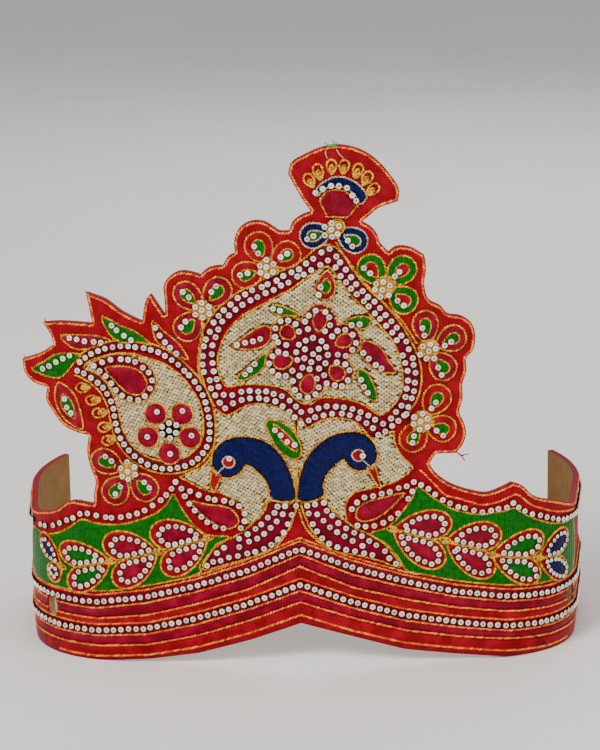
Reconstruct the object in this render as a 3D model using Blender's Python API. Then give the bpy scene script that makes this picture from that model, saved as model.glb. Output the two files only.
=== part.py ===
"""Mukut crown: a sheet of card covered in red cloth, bent round into an open C, worked with raised thread
grounds, petals, leaves, birds, rows of stones and gold cord. Patterns are drawn flat, in millimetres:
s runs along the sheet from the middle of the front, z is the height above the table."""
import bpy
import bmesh
import math
from mathutils import Vector

MM = 0.001
BOW_R = 430.0
BOW_HALF = 76.0
CORNER_R = 38.0
CORNER_TURN = math.radians(74.0)
SIDE_RUN = 30.0
BACK_R = 80.0
HALF_LENGTH = 200.0
FLAP_AT = 80.0
FLAP_FROM = 64.0
FLAP_R = 600.0
CARD = 2.4
GAP = 0.3
PATCH = 0.8
ROW_WIDTH = 2.4
CORD_WIDTH = 1.1
ROW_END = 196.0
CORD_ENDS = (-97.4, 110.4)
CUTTER = 6.0
BACK_OF_CENTRE = 0.055373

RED = (0.42, 0.006, 0.012)
CRIMSON = (0.36, 0.003, 0.045)
GREEN = (0.01, 0.2, 0.025)
BLUE = (0.008, 0.02, 0.16)
CREAM = (0.62, 0.52, 0.34)
GOLD = (0.75, 0.33, 0.1)
CRYSTAL = (0.8, 0.78, 0.76)


def arc(x, y, heading, radius, length):
    turn = length / radius
    x = x + radius * (math.sin(heading + turn) - math.sin(heading))
    y = y + radius * (math.cos(heading) - math.cos(heading + turn))
    return x, y, heading + turn


def plan_point(distance, flap):
    """Point of the half plan at a distance along the sheet: sideways, backwards."""
    x, y, heading = arc(0.0, 0.0, 0.0, BOW_R, min(distance, BOW_HALF))
    left = distance - BOW_HALF
    if left <= 0.0:
        return x, y
    if flap:
        on_corner = min(left, FLAP_AT - BOW_HALF)
        x, y, heading = arc(x, y, heading, CORNER_R, on_corner)
        return arc(x, y, heading, FLAP_R, left - on_corner)[:2]
    corner = CORNER_R * CORNER_TURN
    x, y, heading = arc(x, y, heading, CORNER_R, min(left, corner))
    left = left - corner
    if left <= 0.0:
        return x, y
    run = min(left, SIDE_RUN)
    x = x + run * math.cos(heading)
    y = y + run * math.sin(heading)
    left = left - run
    if left <= 0.0:
        return x, y
    return arc(x, y, heading, BACK_R, left)[:2]


def spread(start, stop, parts):
    return [start + (stop - start) * i / parts for i in range(parts + 1)]


CORNER_END = BOW_HALF + CORNER_R * CORNER_TURN
HALF_STATIONS = (spread(0.0, BOW_HALF, 5) + [FLAP_AT] + spread(FLAP_AT, CORNER_END, 7)[1:]
                 + [CORNER_END + SIDE_RUN] + spread(CORNER_END + SIDE_RUN, HALF_LENGTH, 4)[1:])
BAND_STATIONS = [-s for s in reversed(HALF_STATIONS[1:])] + HALF_STATIONS
FLAP_STATIONS = [-110.0, -95.0, -FLAP_AT]


def signed_point(s, flap):
    x, y = plan_point(abs(s), flap)
    return Vector((math.copysign(x, s) if s else 0.0, y))


def mitres(stations, flap):
    """Offset direction at every station, so that each strip between two stations stays parallel."""
    points = [signed_point(s, flap) for s in stations]
    normals = []
    for a, b in zip(points, points[1:]):
        along = (b - a).normalized()
        normals.append(Vector((along.y, -along.x)))
    out = [normals[0]]
    for a, b in zip(normals, normals[1:]):
        middle = (a + b).normalized()
        out.append(middle / middle.dot(a))
    out.append(normals[-1])
    return points, out


BAND_LINE = mitres(BAND_STATIONS, False)
FLAP_LINE = mitres(FLAP_STATIONS + [-BOW_HALF], True)


def bend(s, z, offset):
    """Pattern point to the standing crown, offset outwards from the middle of the card."""
    flap = s < -FLAP_AT and z > FLAP_FROM
    stations = FLAP_STATIONS + [-BOW_HALF] if flap else BAND_STATIONS
    points, outward = FLAP_LINE if flap else BAND_LINE
    i = 0
    while i < len(stations) - 2 and s > stations[i + 1]:
        i = i + 1
    t = (s - stations[i]) / (stations[i + 1] - stations[i])
    foot = points[i].lerp(points[i + 1], t) + outward[i].lerp(outward[i + 1], t) * offset
    return Vector((foot.x * MM, foot.y * MM - BACK_OF_CENTRE, z * MM))


def material(name, colour, roughness, metallic):
    mat = bpy.data.materials.new(name)
    mat.use_nodes = True
    shader = mat.node_tree.nodes["Principled BSDF"]
    shader.inputs["Base Color"].default_value = (*colour, 1.0)
    shader.inputs["Roughness"].default_value = roughness
    shader.inputs["Metallic"].default_value = metallic
    mat.diffuse_color = (*colour, 1.0)
    return mat


def cut_at(bm, faces, s):
    geom = list({v for f in faces for v in f.verts} | {e for f in faces for e in f.edges} | set(faces))
    bmesh.ops.bisect_plane(bm, geom=geom, plane_co=(s, 0.0, 0.0), plane_no=(1.0, 0.0, 0.0), dist=0.001)


def slab(name, outlines, low, high, mat):
    """One solid: flat outlines cut into strips at the stations, bent, from one offset to another."""
    bm = bmesh.new()
    for outline in outlines:
        bm.faces.new([bm.verts.new((s, 0.0, z)) for s, z in outline])
    bmesh.ops.remove_doubles(bm, verts=bm.verts, dist=0.001)
    low_s = min(v.co.x for v in bm.verts)
    high_s = max(v.co.x for v in bm.verts)
    for s in BAND_STATIONS:
        if low_s < s < high_s and s >= -FLAP_AT:
            cut_at(bm, bm.faces[:], s)
    for s in BAND_STATIONS:
        faces = [f for f in bm.faces if f.calc_center_median().z < FLAP_FROM]
        if s < -FLAP_AT and low_s < s and faces:
            cut_at(bm, faces, s)
    for s in FLAP_STATIONS:
        faces = [f for f in bm.faces if f.calc_center_median().z > FLAP_FROM and f.calc_center_median().x < -FLAP_AT]
        if faces:
            cut_at(bm, faces, s)
    front = bm.faces[:]
    flat = {v: (v.co.x, v.co.z) for v in bm.verts}
    rim = [e for e in bm.edges if len(e.link_faces) == 1]
    rim_turn = [(e.link_loops[0].vert, e.link_loops[0].link_loop_next.vert) for e in rim]
    back = {v: bm.verts.new(v.co) for v in list(flat)}
    for face in front:
        bm.faces.new([back[loop.vert] for loop in reversed(face.loops)])
    for a, b in rim_turn:
        bm.faces.new([b, a, back[a], back[b]])
    for v, (s, z) in flat.items():
        v.co = bend(s, z, high)
        back[v].co = bend(s, z, low)
    bmesh.ops.recalc_face_normals(bm, faces=bm.faces)
    if bm.calc_volume(signed=True) < 0.0:
        bmesh.ops.reverse_faces(bm, faces=bm.faces)
    mesh = bpy.data.meshes.new(name)
    bm.to_mesh(mesh)
    bm.free()
    mesh.materials.append(mat)
    obj = bpy.data.objects.new(name, mesh)
    bpy.context.scene.collection.objects.link(obj)
    return obj


def oval(s, z, wide, high, lean=0.0, count=12):
    """Outline of an oval, leant over by an angle in degrees."""
    turn = math.radians(lean)
    out = []
    for i in range(count):
        a = math.tau * (i + 0.5) / count
        x = wide / 2.0 * math.cos(a)
        y = high / 2.0 * math.sin(a)
        out.append((s + x * math.cos(turn) - y * math.sin(turn), z + x * math.sin(turn) + y * math.cos(turn)))
    return out


def bloom(hub, hub_r, petals, count=40):
    """Outline of petals round a hub, as one shape: each petal is an oval (s, z, across, along)."""
    out = []
    for i in range(count):
        a = math.tau * i / count
        reach = hub_r
        for s, z, across, along in petals:
            way = Vector((s - hub[0], z - hub[1]))
            ahead = way.normalized()
            side = Vector((-ahead.y, ahead.x))
            ray = Vector((math.cos(a), math.sin(a)))
            u = ray.dot(ahead) / (along / 2.0)
            v = ray.dot(side) / (across / 2.0)
            shift = way.length / (along / 2.0)
            aa = u * u + v * v
            bb = u * shift
            inside = bb * bb - aa * (shift * shift - 1.0)
            if inside > 0.0 and bb > 0.0:
                reach = max(reach, (bb + math.sqrt(inside)) / aa)
        out.append((hub[0] + reach * math.cos(a), hub[1] + reach * math.sin(a)))
    return out


def line_at(line, s):
    for (s0, z0), (s1, z1) in zip(line, line[1:]):
        if s0 <= s <= s1:
            return z0 + (z1 - z0) * (s - s0) / (s1 - s0)
    return line[-1][1]


def ribbon(line, width, closed=False):
    """Outline of a narrow strip along a run of pattern points."""
    pts = [Vector(p) for p in line]
    sides = []
    count = len(pts)
    for i in range(count):
        before = pts[(i - 1) % count] if closed or i else pts[i]
        after = pts[(i + 1) % count] if closed or i < count - 1 else pts[i]
        a = (pts[i] - before).normalized() if before != pts[i] else (after - pts[i]).normalized()
        b = (after - pts[i]).normalized() if after != pts[i] else a
        middle = Vector((-(a + b).y, (a + b).x)).normalized()
        lean = max(0.5, middle.dot(Vector((-a.y, a.x))))
        sides.append(middle * (width / 2.0 / lean))
    left = [tuple(p + d) for p, d in zip(pts, sides)]
    right = [tuple(p - d) for p, d in zip(pts, sides)]
    return left, right


def strip(name, line, width, low, high, mat, closed=False):
    left, right = ribbon(line, width, closed)
    last = len(line) if closed else len(line) - 1
    quads = []
    for i in range(last):
        j = (i + 1) % len(line)
        quads.append([right[i], right[j], left[j], left[i]])
    return slab(name, quads, low, high, mat)


ROW_STATIONS = (-120.0, -100.0, -80.0, -60.0, -40.0, -20.0, 0.0, 20.0, 40.0, 60.0, 80.0, 100.0, 120.0)
ROWS = {
    "edge": (0.0, 0.0, 0.0, 1.4, 4.6, 10.2, 17.2, 11.5, 5.7, 2.9, 0.4, 0.0, 0.0),
    "cord_1": (1.8, 1.8, 1.8, 3.2, 7.2, 13.2, 20.6, 13.9, 8.4, 5.4, 2.9, 1.8, 1.8),
    "cord_2": (6.0, 6.0, 6.0, 7.4, 11.9, 18.3, 25.8, 19.1, 13.6, 10.2, 7.9, 6.4, 6.0),
    "cord_3": (10.2, 10.2, 10.2, 11.7, 16.6, 22.9, 30.4, 23.1, 17.5, 13.9, 11.2, 10.2, 10.2),
    "stones_low": (12.6, 12.6, 12.6, 14.2, 19.2, 25.5, 33.2, 25.8, 20.0, 16.2, 13.4, 12.4, 12.6),
    "cord_4": (17.2, 17.2, 17.2, 19.5, 24.7, 31.0, 40.2, 31.5, 26.2, 21.9, 19.1, 17.6, 17.2),
    "cord_5": (21.4, 21.4, 21.4, 24.5, 29.7, 36.1, 45.0, 36.7, 31.1, 26.3, 23.2, 21.6, 21.4),
    "stones_mid": (24.1, 24.1, 24.2, 27.2, 32.3, 39.0, 47.6, 39.7, 33.5, 28.6, 25.5, 24.0, 24.1),
    "cord_6": (26.8, 26.8, 26.8, 29.8, 34.9, 41.8, 50.4, 42.3, 36.0, 31.1, 28.0, 26.4, 26.8),
}
BAND_TOP = 54.0
TOP_EDGE = (
    (-120, 54), (-113, 54.6), (-106, 56.3), (-100, 57.8), (-96, 59.6), (-92, 62.6), (-88.5, 64.0), (-85, 63.9),
    (-79.6, 63.4), (-79.4, 68), (-78.6, 73), (-80.4, 78), (-81.6, 84), (-80.7, 91), (-86, 92), (-91.5, 94.6),
    (-95.2, 99.5), (-97.9, 104), (-97.2, 109), (-103, 110.6), (-106.6, 114.5), (-107.2, 119.6), (-100, 122.2),
    (-93.8, 126), (-95, 130), (-98.2, 134.4), (-91, 135.2), (-77.6, 135), (-79.8, 147), (-72.6, 144.6),
    (-66, 139.9), (-58.4, 136.2), (-56.2, 145.5), (-54.8, 147), (-52.5, 143.4), (-49.4, 138.6), (-49.4, 145),
    (-49.6, 150.6), (-47.2, 154), (-43, 156), (-38, 155.4), (-35.7, 154.6), (-33, 157), (-29.3, 158.1),
    (-27.2, 158.1), (-24.9, 161.7), (-22.4, 163), (-22.4, 168.4), (-20.4, 172.6), (-15.5, 175.2),
    (-11, 174.8), (-7.2, 172.4), (-5.6, 171.4), (-2, 171.3), (-0.6, 174.6), (2.4, 177), (6.4, 178.6), (3.6, 182.6),
    (0.2, 188.6), (-2, 193), (-0.8, 196.8), (4, 199.8), (9.5, 202.2), (15, 203.4), (21, 202.8), (27, 200.4),
    (32, 196.4), (36.4, 191), (39.2, 186), (38.6, 181.8), (31, 179.2), (27.4, 176.2), (25, 174.4), (28.6, 172.2),
    (31, 169), (31.8, 166.3), (35, 162.6), (38, 164.6), (43, 164.2), (48.4, 161), (49, 156), (48.3, 150),
    (50, 144), (54.6, 141.2), (57, 138.3), (62, 137.2), (66.2, 134.2), (67.6, 129), (66.6, 123.6), (64.2, 121),
    (64.2, 116), (62.6, 110.8), (62.7, 105), (61.4, 100), (63.4, 95), (64, 91), (62.4, 86.6), (60, 83.8),
    (52.2, 83.8), (49.8, 80), (52, 76.4), (56, 72.8), (60, 70.6), (66, 68.4), (72, 67.2), (77.6, 68.8),
    (82, 70.6), (86, 69), (90, 64.9), (95, 62.3), (100, 60.8), (109, 57.6), (116, 55.4), (120, 54.4),
)
HOLE_WIDE = 5.4
HOLE_HIGH = 9.0
HOLES = {"hole_left": (-101.5, 18.7), "hole_right": (114.5, 18.7)}
GREEN_LEFT = (
    (-118, 46), (-106, 47.3), (-100, 48.6), (-94.7, 50.6), (-90, 53.4), (-85, 57), (-80, 56.3), (-76, 55.8),
    (-70, 56), (-65.4, 56.9), (-60, 58.8), (-55, 61.2), (-50.8, 65), (-48.3, 69), (-46.4, 66), (-43.8, 61.3),
    (-41, 57.4), (-38.3, 54.8), (-35, 52.6), (-27, 52), (-32.6, 47.4), (-36, 43.6), (-38.6, 40), (-40, 36.6),
    (-60, 31.4), (-80, 28.4), (-118, 28.4),
)
GREEN_RIGHT = (
    (118, 49), (110, 49.6), (100, 51.4), (95, 53.4), (90, 55.7), (85, 59), (82.3, 60.8), (80, 60), (75, 59.4),
    (70, 59), (65, 59.8), (58.6, 61.8), (54.7, 64.2), (50.8, 67), (45.2, 71), (43, 66.5), (41, 63.8), (37, 58.5),
    (33, 55), (27, 53), (33, 48.6), (37.6, 42.8), (41, 37.6), (50, 35.2), (60, 32.7), (80, 29.6), (100, 28), (118, 28.4),
)
MANGO = (
    (12.2, 157.8), (5.2, 154.4), (-1.9, 149.3), (-7.2, 146.6), (-12, 143.8), (-19.8, 139.4), (-25.5, 133.7),
    (-28.7, 127.6), (-30, 121), (-29.2, 116), (-26.5, 111.6), (-20, 112.4), (-10, 112), (-4, 110), (0, 105.8),
    (5, 104.6), (9.5, 107), (18, 106.3), (24, 104.4), (29, 101), (31.8, 99.7), (36, 103), (39.3, 108), (40.2, 114),
    (39, 122), (36.4, 128.5), (32.2, 134), (26, 141.2), (20.6, 147), (17, 152),
)
PAISLEY = (
    (-81.6, 117.6), (-78.4, 121), (-73.5, 122.8), (-68.6, 124), (-62, 124), (-56.2, 122.4), (-51.4, 120.9),
    (-47.6, 118.8), (-43.5, 115.5), (-40.5, 111.6), (-38, 107.6), (-36.3, 103), (-35.6, 98), (-35.8, 93),
    (-37.2, 88.8), (-39.9, 85.8), (-43.2, 83.4), (-49, 81.8), (-55, 82.2), (-60, 84.4), (-64.4, 88.6), (-67.4, 95),
    (-68.8, 102), (-71.4, 109.4), (-75.6, 114.8),
)
BIRD_LEFT = (
    (-1.2, 98), (-6.5, 103), (-11, 104.8), (-17, 105), (-22, 103), (-27, 100.4), (-31.2, 102.6), (-31.2, 93), (-32.6, 86.4),
    (-36, 80.6), (-45, 76), (-42, 73.8), (-36, 70.6), (-29, 69.2), (-23.2, 65), (-20.9, 59.8), (-19.6, 57.2),
    (-14, 61), (-12, 66.8), (-1.2, 67.4),
)
BIRD_RIGHT = (
    (0.2, 98), (3.6, 95.6), (8, 98), (14, 99.2), (20, 98.4), (24.2, 95.4), (28, 91), (33, 92.4), (36.4, 93.4), (36.8, 89),
    (39.2, 84.0), (43.4, 79), (39.6, 75), (34, 72.4), (27, 70.8), (20, 68.6), (17.6, 62.8), (18.2, 58.6), (14, 60.6),
    (10.6, 65.4), (9.2, 68), (0.2, 67.4),
)
NECK_LEFT = (
    (-9.8, 67.8), (-2.2, 67.4), (-2.4, 73), (-4, 79), (-7, 84.6), (-11.4, 89), (-16.6, 91.2), (-22, 91.4), (-27, 90.4),
    (-30.6, 87.4), (-32.2, 83.4), (-31.8, 79.2), (-28.6, 76.6), (-25, 76.8), (-22, 79), (-20, 81.6), (-16.4, 79.8),
    (-13, 76.4), (-10.8, 72),
)
NECK_RIGHT = (
    (0.4, 67.4), (8.4, 68.4), (8.7, 73), (10.4, 77.4), (13.6, 81), (17, 83.4), (19.4, 80.6), (22.4, 79), (26, 79.2),
    (28.8, 82), (29.3, 86), (27.6, 89.6), (24.4, 92.4), (19.6, 93.2), (14.6, 92.4), (10, 90), (5.6, 86), (2.6, 81), (0.8, 75),
)
BEAK_LEFT = ((-32.6, 78.4), (-29.8, 76), (-32.4, 70.4), (-33.6, 74))
BEAK_RIGHT = ((26.8, 78.4), (29, 79.8), (31, 72.2), (29.8, 72.4))
WING_LEFT = (
    (-41.6, 66.2), (-35, 65.2), (-28, 64.4), (-24.4, 62), (-23, 58.8), (-24.2, 56.6), (-28, 55.4), (-33, 57.6), (-38, 61.6),
)
WING_RIGHT = (
    (40, 69), (33, 67.8), (26, 66), (22.2, 63.4), (21.6, 60), (23.6, 58.2), (28, 58.6), (33, 61.4), (37.4, 65.6),
)
CREST_LEAF = ((-12, 98), (-7, 98.4), (-2.4, 95.2), (0.8, 90), (1.2, 85), (-1.6, 83.2), (-6, 85.4), (-9.6, 90.4))
SCALLOP = ((12.2, 176.6), (9.4, 182.8), (12, 186.2), (15.2, 187), (19, 186.4), (22, 183.6), (23.6, 180.4), (19.8, 176))
FAN_ARC = (
    (8.6, 184.4), (8.6, 187.4), (11.3, 189.9), (14.6, 191.4), (18, 191.6), (22, 190), (25.3, 187.4), (27.2, 183.7),
    (24.4, 181), (22.6, 184.4), (19.4, 187.2), (15.2, 187.9), (11.4, 187),
)
DROP = ((-73, 117.6), (-68.8, 118.9), (-63.4, 118.8), (-59, 116.8), (-56.8, 112.8), (-58, 109.4), (-61, 107.8), (-66, 109.6))
LEAVES = {
    "leaf_edge_low": ((-103, 116), (-97, 119.8), (-92.9, 122.3), (-86, 123.2), (-82.4, 122.4), (-86, 118.6), (-90.6, 113.6),
                      (-95.4, 113), (-100.4, 114.4)),
    "leaf_edge_red": ((-90.6, 129.6), (-83, 130.5), (-76, 130.5), (-70.6, 128.7), (-75, 126.9), (-80.6, 124.9), (-86, 125.2)),
    "leaf_edge_high": ((-73.6, 138), (-66.5, 134.8), (-60.6, 132.4), (-54.8, 127.5), (-60, 128.2), (-67, 128.2),
                       (-71.6, 132)),
    "leaf_edge_slim": ((-54.2, 136.6), (-50, 133), (-44, 127.8), (-41, 122), (-46, 124.2), (-51.6, 127.6), (-53.8, 131)),
    "leaf_side": ((-92, 110.6), (-88.6, 108.4), (-85, 103.6), (-84, 97), (-90, 97.6), (-93.4, 102), (-93.8, 107)),
    "leaf_mango_green": ((-8.6, 143.4), (-4, 142.6), (2, 139.2), (-3.6, 139.3), (-8.4, 140)),
    "leaf_mango_red": ((-20.4, 130.6), (-14, 134.8), (-10, 135), (-9.6, 130), (-14, 126.6), (-20, 126.2), (-24, 127.6)),
    "leaf_mango_low": ((-22.6, 115.4), (-16, 121.4), (-11.6, 124.8), (-12, 120), (-15, 116.6), (-20, 114.2)),
    "leaf_right_green": ((18.6, 137.2), (24, 138.6), (28, 137.6), (26.8, 134), (23.4, 133.8), (20, 135.6)),
    "leaf_right_red": ((25.4, 129), (31, 127), (35, 120.6), (37.4, 116.4), (31, 117), (26, 121), (24, 125)),
    "leaf_right_low": ((23, 118), (26.6, 116.6), (29.6, 110), (29.8, 105.4), (26.6, 107), (23.6, 112.4)),
    "mango_drop": ((12, 156.4), (15, 151), (14, 146.6), (11, 145), (8, 147), (7.6, 151)),
}
FLOWERS = {
    "flower_left": (
        (-65.4, 77.6), 4.0, ((-74.2, 81.0, 10.0, 12.0), (-70.8, 69.2, 10.6, 11.4), (-59.2, 71.0, 10.6, 11.6))),
    "flower_shoulder": ((-35.0, 141.4), 4.0, ((-40.5, 146.7, 10.0, 12.0), (-29.2, 148.4, 10.4, 12.0), (-40.8, 134.6, 10.6, 11.6))),
    "flower_high": ((-10.4, 157.6), 4.0, ((-13.3, 165.6, 10.6, 11.6), (-18.2, 154.8, 10.2, 11.4), (-2.9, 162.4, 10.4, 10.8))),
    "flower_top": ((14.8, 171.6), 3.6, ((7.2, 169.6, 9.8, 10.8), (22.0, 167.6, 9.6, 11.2))),
    "flower_right_high": ((33.4, 149.6), 4.4, ((28.6, 156.6, 10.4, 11.6), (40.0, 155.8, 10.6, 11.6), (40.6, 144.2, 10.6, 11.0))),
    "flower_right": ((49.8, 125.2), 4.2, ((48.6, 134.4, 9.8, 11.8), (59.0, 128.9, 10.2, 10.8), (55.2, 117.8, 10.2, 11.2))),
    "flower_right_low": ((47.2, 97.0), 4.4, ((52.8, 105.6, 10.8, 11.8), (54.8, 93.8, 10.4, 11.0), (43.8, 90.6, 10.6, 11.6))),
    "paisley_flower": ((-48.8, 94.8), 3.6, ((-53.9, 100.6, 8.0, 8.0), (-43.9, 100.6, 8.0, 8.0), (-57.2, 91.4, 8.0, 8.0),
                                            (-41.0, 91.6, 8.0, 8.0), (-49.2, 85.2, 8.0, 8.0))),
    "mango_flower": ((7.2, 124.2), 6.0, ((9.0, 137.0, 5.6, 8.4), (-3.0, 132.6, 5.8, 6.4), (-5.0, 121.6, 5.8, 7.8),
                                         (4.2, 112.8, 5.8, 8.0), (15.0, 117.0, 6.0, 7.0), (17.8, 129.2, 5.4, 7.0))),
}
PETAL_PAIRS = {
    "petal_pair_1": ((-97.0, 36.6), 2.2, ((-103.0, 40.6, 6.6, 10.0), (-102.0, 32.4, 6.0, 9.0))),
    "petal_pair_2": ((-77.8, 38.2), 2.4, ((-87.2, 42.2, 9.2, 15.0), (-85.8, 32.8, 8.8, 14.0))),
    "petal_pair_3": ((-58.6, 44.4), 2.6, ((-69.0, 47.8, 10.4, 16.4), (-66.4, 37.2, 9.6, 15.0))),
    "petal_pair_4": ((-39.8, 50.6), 2.4, ((-51.0, 54.0, 10.0, 16.6), (-47.6, 43.8, 10.0, 15.6))),
    "petal_pair_5": ((37.6, 52.8), 2.4, ((46.6, 57.2, 9.6, 17.0), (46.4, 44.6, 10.6, 16.0))),
    "petal_pair_6": ((57.4, 46.8), 2.6, ((67.2, 50.6, 9.8, 16.6), (66.6, 38.6, 9.6, 15.6))),
    "petal_pair_7": ((77.6, 41.6), 2.4, ((87.0, 46.2, 9.4, 15.0), (87.0, 35.0, 9.2, 14.6))),
    "petal_pair_8": ((97.6, 37.6), 2.2, ((106.0, 41.4, 7.6, 12.6), (105.6, 32.6, 6.6, 11.4))),
}
STONE_LINES = {
    "stones_mango": (
        (-33, 113.6), (-33.8, 120), (-33, 127.4), (-31.2, 133.6), (-27.2, 139), (-20.6, 144.6), (-13, 148.8), (-4.2, 153),
        (4, 157), (11.4, 162.6), (15.4, 160), (19, 154), (24.4, 147), (30.6, 140.6), (36, 134), (40, 127), (43, 120),
        (43.6, 114), (42.4, 107.6), (38.6, 101.6)),
    "stones_paisley": (
        (-82.9, 120), (-77.9, 123.4), (-72, 125.9), (-65.2, 126.9), (-58.5, 126.4), (-52.3, 124.7), (-47, 121.8),
        (-42.3, 117.5), (-38.2, 112.8), (-35.2, 107), (-33.6, 100), (-33.4, 94), (-34.6, 88.2), (-38, 83.6), (-42.4, 80.6),
        (-48, 79.2), (-53.6, 79.4), (-59.6, 81.6), (-64.6, 85.6), (-68, 91), (-69.6, 97), (-70.7, 103.4), (-73.6, 109.6),
        (-78.3, 114), (-84, 116.6)),
    "stones_birds": (
        (-28.6, 104), (-22, 106.8), (-15, 108.8), (-9, 108), (-3, 104.6), (2, 99), (7, 100.6), (13, 102), (19, 101),
        (24.4, 98), (29, 94), (34, 96.8)),
    "stones_tail_left": ((-27, 47.6), (-20, 51.6), (-13, 57.4), (-7.6, 62.4), (-3.4, 64.2)),
    "stones_tail_right": ((30, 47.4), (22, 50.4), (14.6, 56), (8, 61.2), (4.4, 63.6)),
}

ON_CLOTH = (CARD / 2.0 + GAP, CARD / 2.0 + GAP + PATCH)
ON_GROUND = (ON_CLOTH[1] + GAP, ON_CLOTH[1] + GAP + PATCH)


def row_line(name, start=-ROW_END, stop=ROW_END):
    """Pattern points of one band row, level beyond the corners."""
    heights = list(zip(ROW_STATIONS, ROWS[name]))
    table = [(-HALF_LENGTH, heights[0][1])] + heights + [(HALF_LENGTH, heights[-1][1])]
    inner = [(s, z) for s, z in table if start < s < stop]
    return [(start, line_at(table, start))] + inner + [(stop, line_at(table, stop))]


def crown_outline():
    lower = [(s, z) for s, z in zip(ROW_STATIONS, ROWS["edge"])]
    lower = [(HALF_LENGTH, 0.0)] + lower[::-1] + [(-HALF_LENGTH, 0.0)]
    return [(-HALF_LENGTH, BAND_TOP)] + list(TOP_EDGE) + [(HALF_LENGTH, BAND_TOP)] + lower


def add_panel(cloth):
    panel = slab("crown_panel", [crown_outline()], -CARD / 2.0, CARD / 2.0, cloth)
    for name, (s, z) in HOLES.items():
        cutter = slab(name, [oval(s, z, HOLE_WIDE, HOLE_HIGH)], -CUTTER, CUTTER, cloth)
        cutter.hide_render = True
        cutter.display_type = "WIRE"
        hole = panel.modifiers.new(name, "BOOLEAN")
        hole.operation = "DIFFERENCE"
        hole.solver = "EXACT"
        hole.object = cutter


def add_grounds(cream, green):
    for name, outline in (("mango_ground", MANGO), ("paisley_ground", PAISLEY),
                          ("peacock_ground_left", BIRD_LEFT), ("peacock_ground_right", BIRD_RIGHT)):
        slab(name, [outline], *ON_CLOTH, cream)
    slab("band_field_left", [GREEN_LEFT], *ON_CLOTH, green)
    slab("band_field_right", [GREEN_RIGHT], *ON_CLOTH, green)


def add_birds(blue, red, crimson, green):
    slab("peacock_neck_left", [NECK_LEFT], *ON_GROUND, blue)
    slab("peacock_neck_right", [NECK_RIGHT], *ON_GROUND, blue)
    slab("beak_left", [BEAK_LEFT], *ON_GROUND, red)
    slab("beak_right", [BEAK_RIGHT], *ON_GROUND, red)
    slab("wing_left", [WING_LEFT], *ON_CLOTH, crimson)
    slab("wing_right", [WING_RIGHT], *ON_CLOTH, crimson)
    slab("crest_leaf", [CREST_LEAF], *ON_GROUND, green)


def add_fan(crimson, blue):
    slab("fan_scallop", [SCALLOP], *ON_CLOTH, crimson)
    slab("fan_arc", [FAN_ARC], *ON_CLOTH, blue)


def add_leaves(green, crimson):
    for name, outline in LEAVES.items():
        on = ON_GROUND if "mango" in name or "right" in name else ON_CLOTH
        slab(name, [outline], *on, green if name.endswith(("low", "high", "green")) else crimson)
    slab("paisley_drop", [DROP], *ON_GROUND, crimson)


def add_flowers(crimson, blue, green):
    colours = {"flower_top": blue, "flower_right_high": green}
    for name, (hub, hub_r, petals) in FLOWERS.items():
        on = ON_GROUND if name in ("paisley_flower", "mango_flower") else ON_CLOTH
        slab(name, [bloom(hub, hub_r, petals)], *on, colours.get(name, crimson))
    for name, (hub, hub_r, petals) in PETAL_PAIRS.items():
        slab(name, [bloom(hub, hub_r, petals)], *ON_GROUND, crimson)


def add_rows(gold, crystal):
    for name in ("cord_1", "cord_2", "cord_3", "cord_6"):
        strip(name, row_line(name), CORD_WIDTH, *ON_CLOTH, gold)
    for name in ("cord_4", "cord_5"):
        strip(name, row_line(name, *CORD_ENDS), CORD_WIDTH, *ON_CLOTH, gold)
    for name in ("stones_low", "stones_mid"):
        strip(name, row_line(name), ROW_WIDTH, *ON_CLOTH, crystal)
    for name, line in STONE_LINES.items():
        strip(name, line, ROW_WIDTH, *ON_CLOTH, crystal)


def main():
    for obj in list(bpy.data.objects):
        bpy.data.objects.remove(obj, do_unlink=True)
    cloth = material("red_cloth", RED, 0.8, 0.0)
    crimson = material("crimson_thread", CRIMSON, 0.55, 0.0)
    green = material("green_thread", GREEN, 0.5, 0.0)
    blue = material("blue_thread", BLUE, 0.5, 0.0)
    cream = material("cream_thread", CREAM, 0.6, 0.1)
    gold = material("gold_cord", GOLD, 0.45, 0.5)
    crystal = material("stone_row", CRYSTAL, 0.15, 0.1)
    add_panel(cloth)
    add_grounds(cream, green)
    add_birds(blue, cloth, crimson, green)
    add_fan(crimson, blue)
    add_leaves(green, crimson)
    add_flowers(crimson, blue, green)
    add_rows(gold, crystal)


main()
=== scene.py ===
"""Looks of the mukut crown: thread work, gold cord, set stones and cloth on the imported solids."""
import math
import bmesh
import bpy
import numpy as np
from mathutils import Matrix, Vector


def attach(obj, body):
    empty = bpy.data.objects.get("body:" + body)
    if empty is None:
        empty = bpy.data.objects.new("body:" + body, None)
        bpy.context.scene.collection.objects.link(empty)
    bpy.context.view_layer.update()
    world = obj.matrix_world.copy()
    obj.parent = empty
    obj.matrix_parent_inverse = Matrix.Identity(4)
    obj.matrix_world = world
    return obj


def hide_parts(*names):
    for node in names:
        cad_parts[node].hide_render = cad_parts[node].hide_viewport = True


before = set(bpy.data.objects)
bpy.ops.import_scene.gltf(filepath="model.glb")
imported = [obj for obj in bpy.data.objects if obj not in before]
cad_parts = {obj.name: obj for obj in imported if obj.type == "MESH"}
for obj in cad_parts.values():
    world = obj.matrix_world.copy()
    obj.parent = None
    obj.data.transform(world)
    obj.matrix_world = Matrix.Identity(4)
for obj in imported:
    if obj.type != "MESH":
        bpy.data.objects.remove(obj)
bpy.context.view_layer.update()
RNG = np.random.default_rng(7)

MM = 0.001
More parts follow.
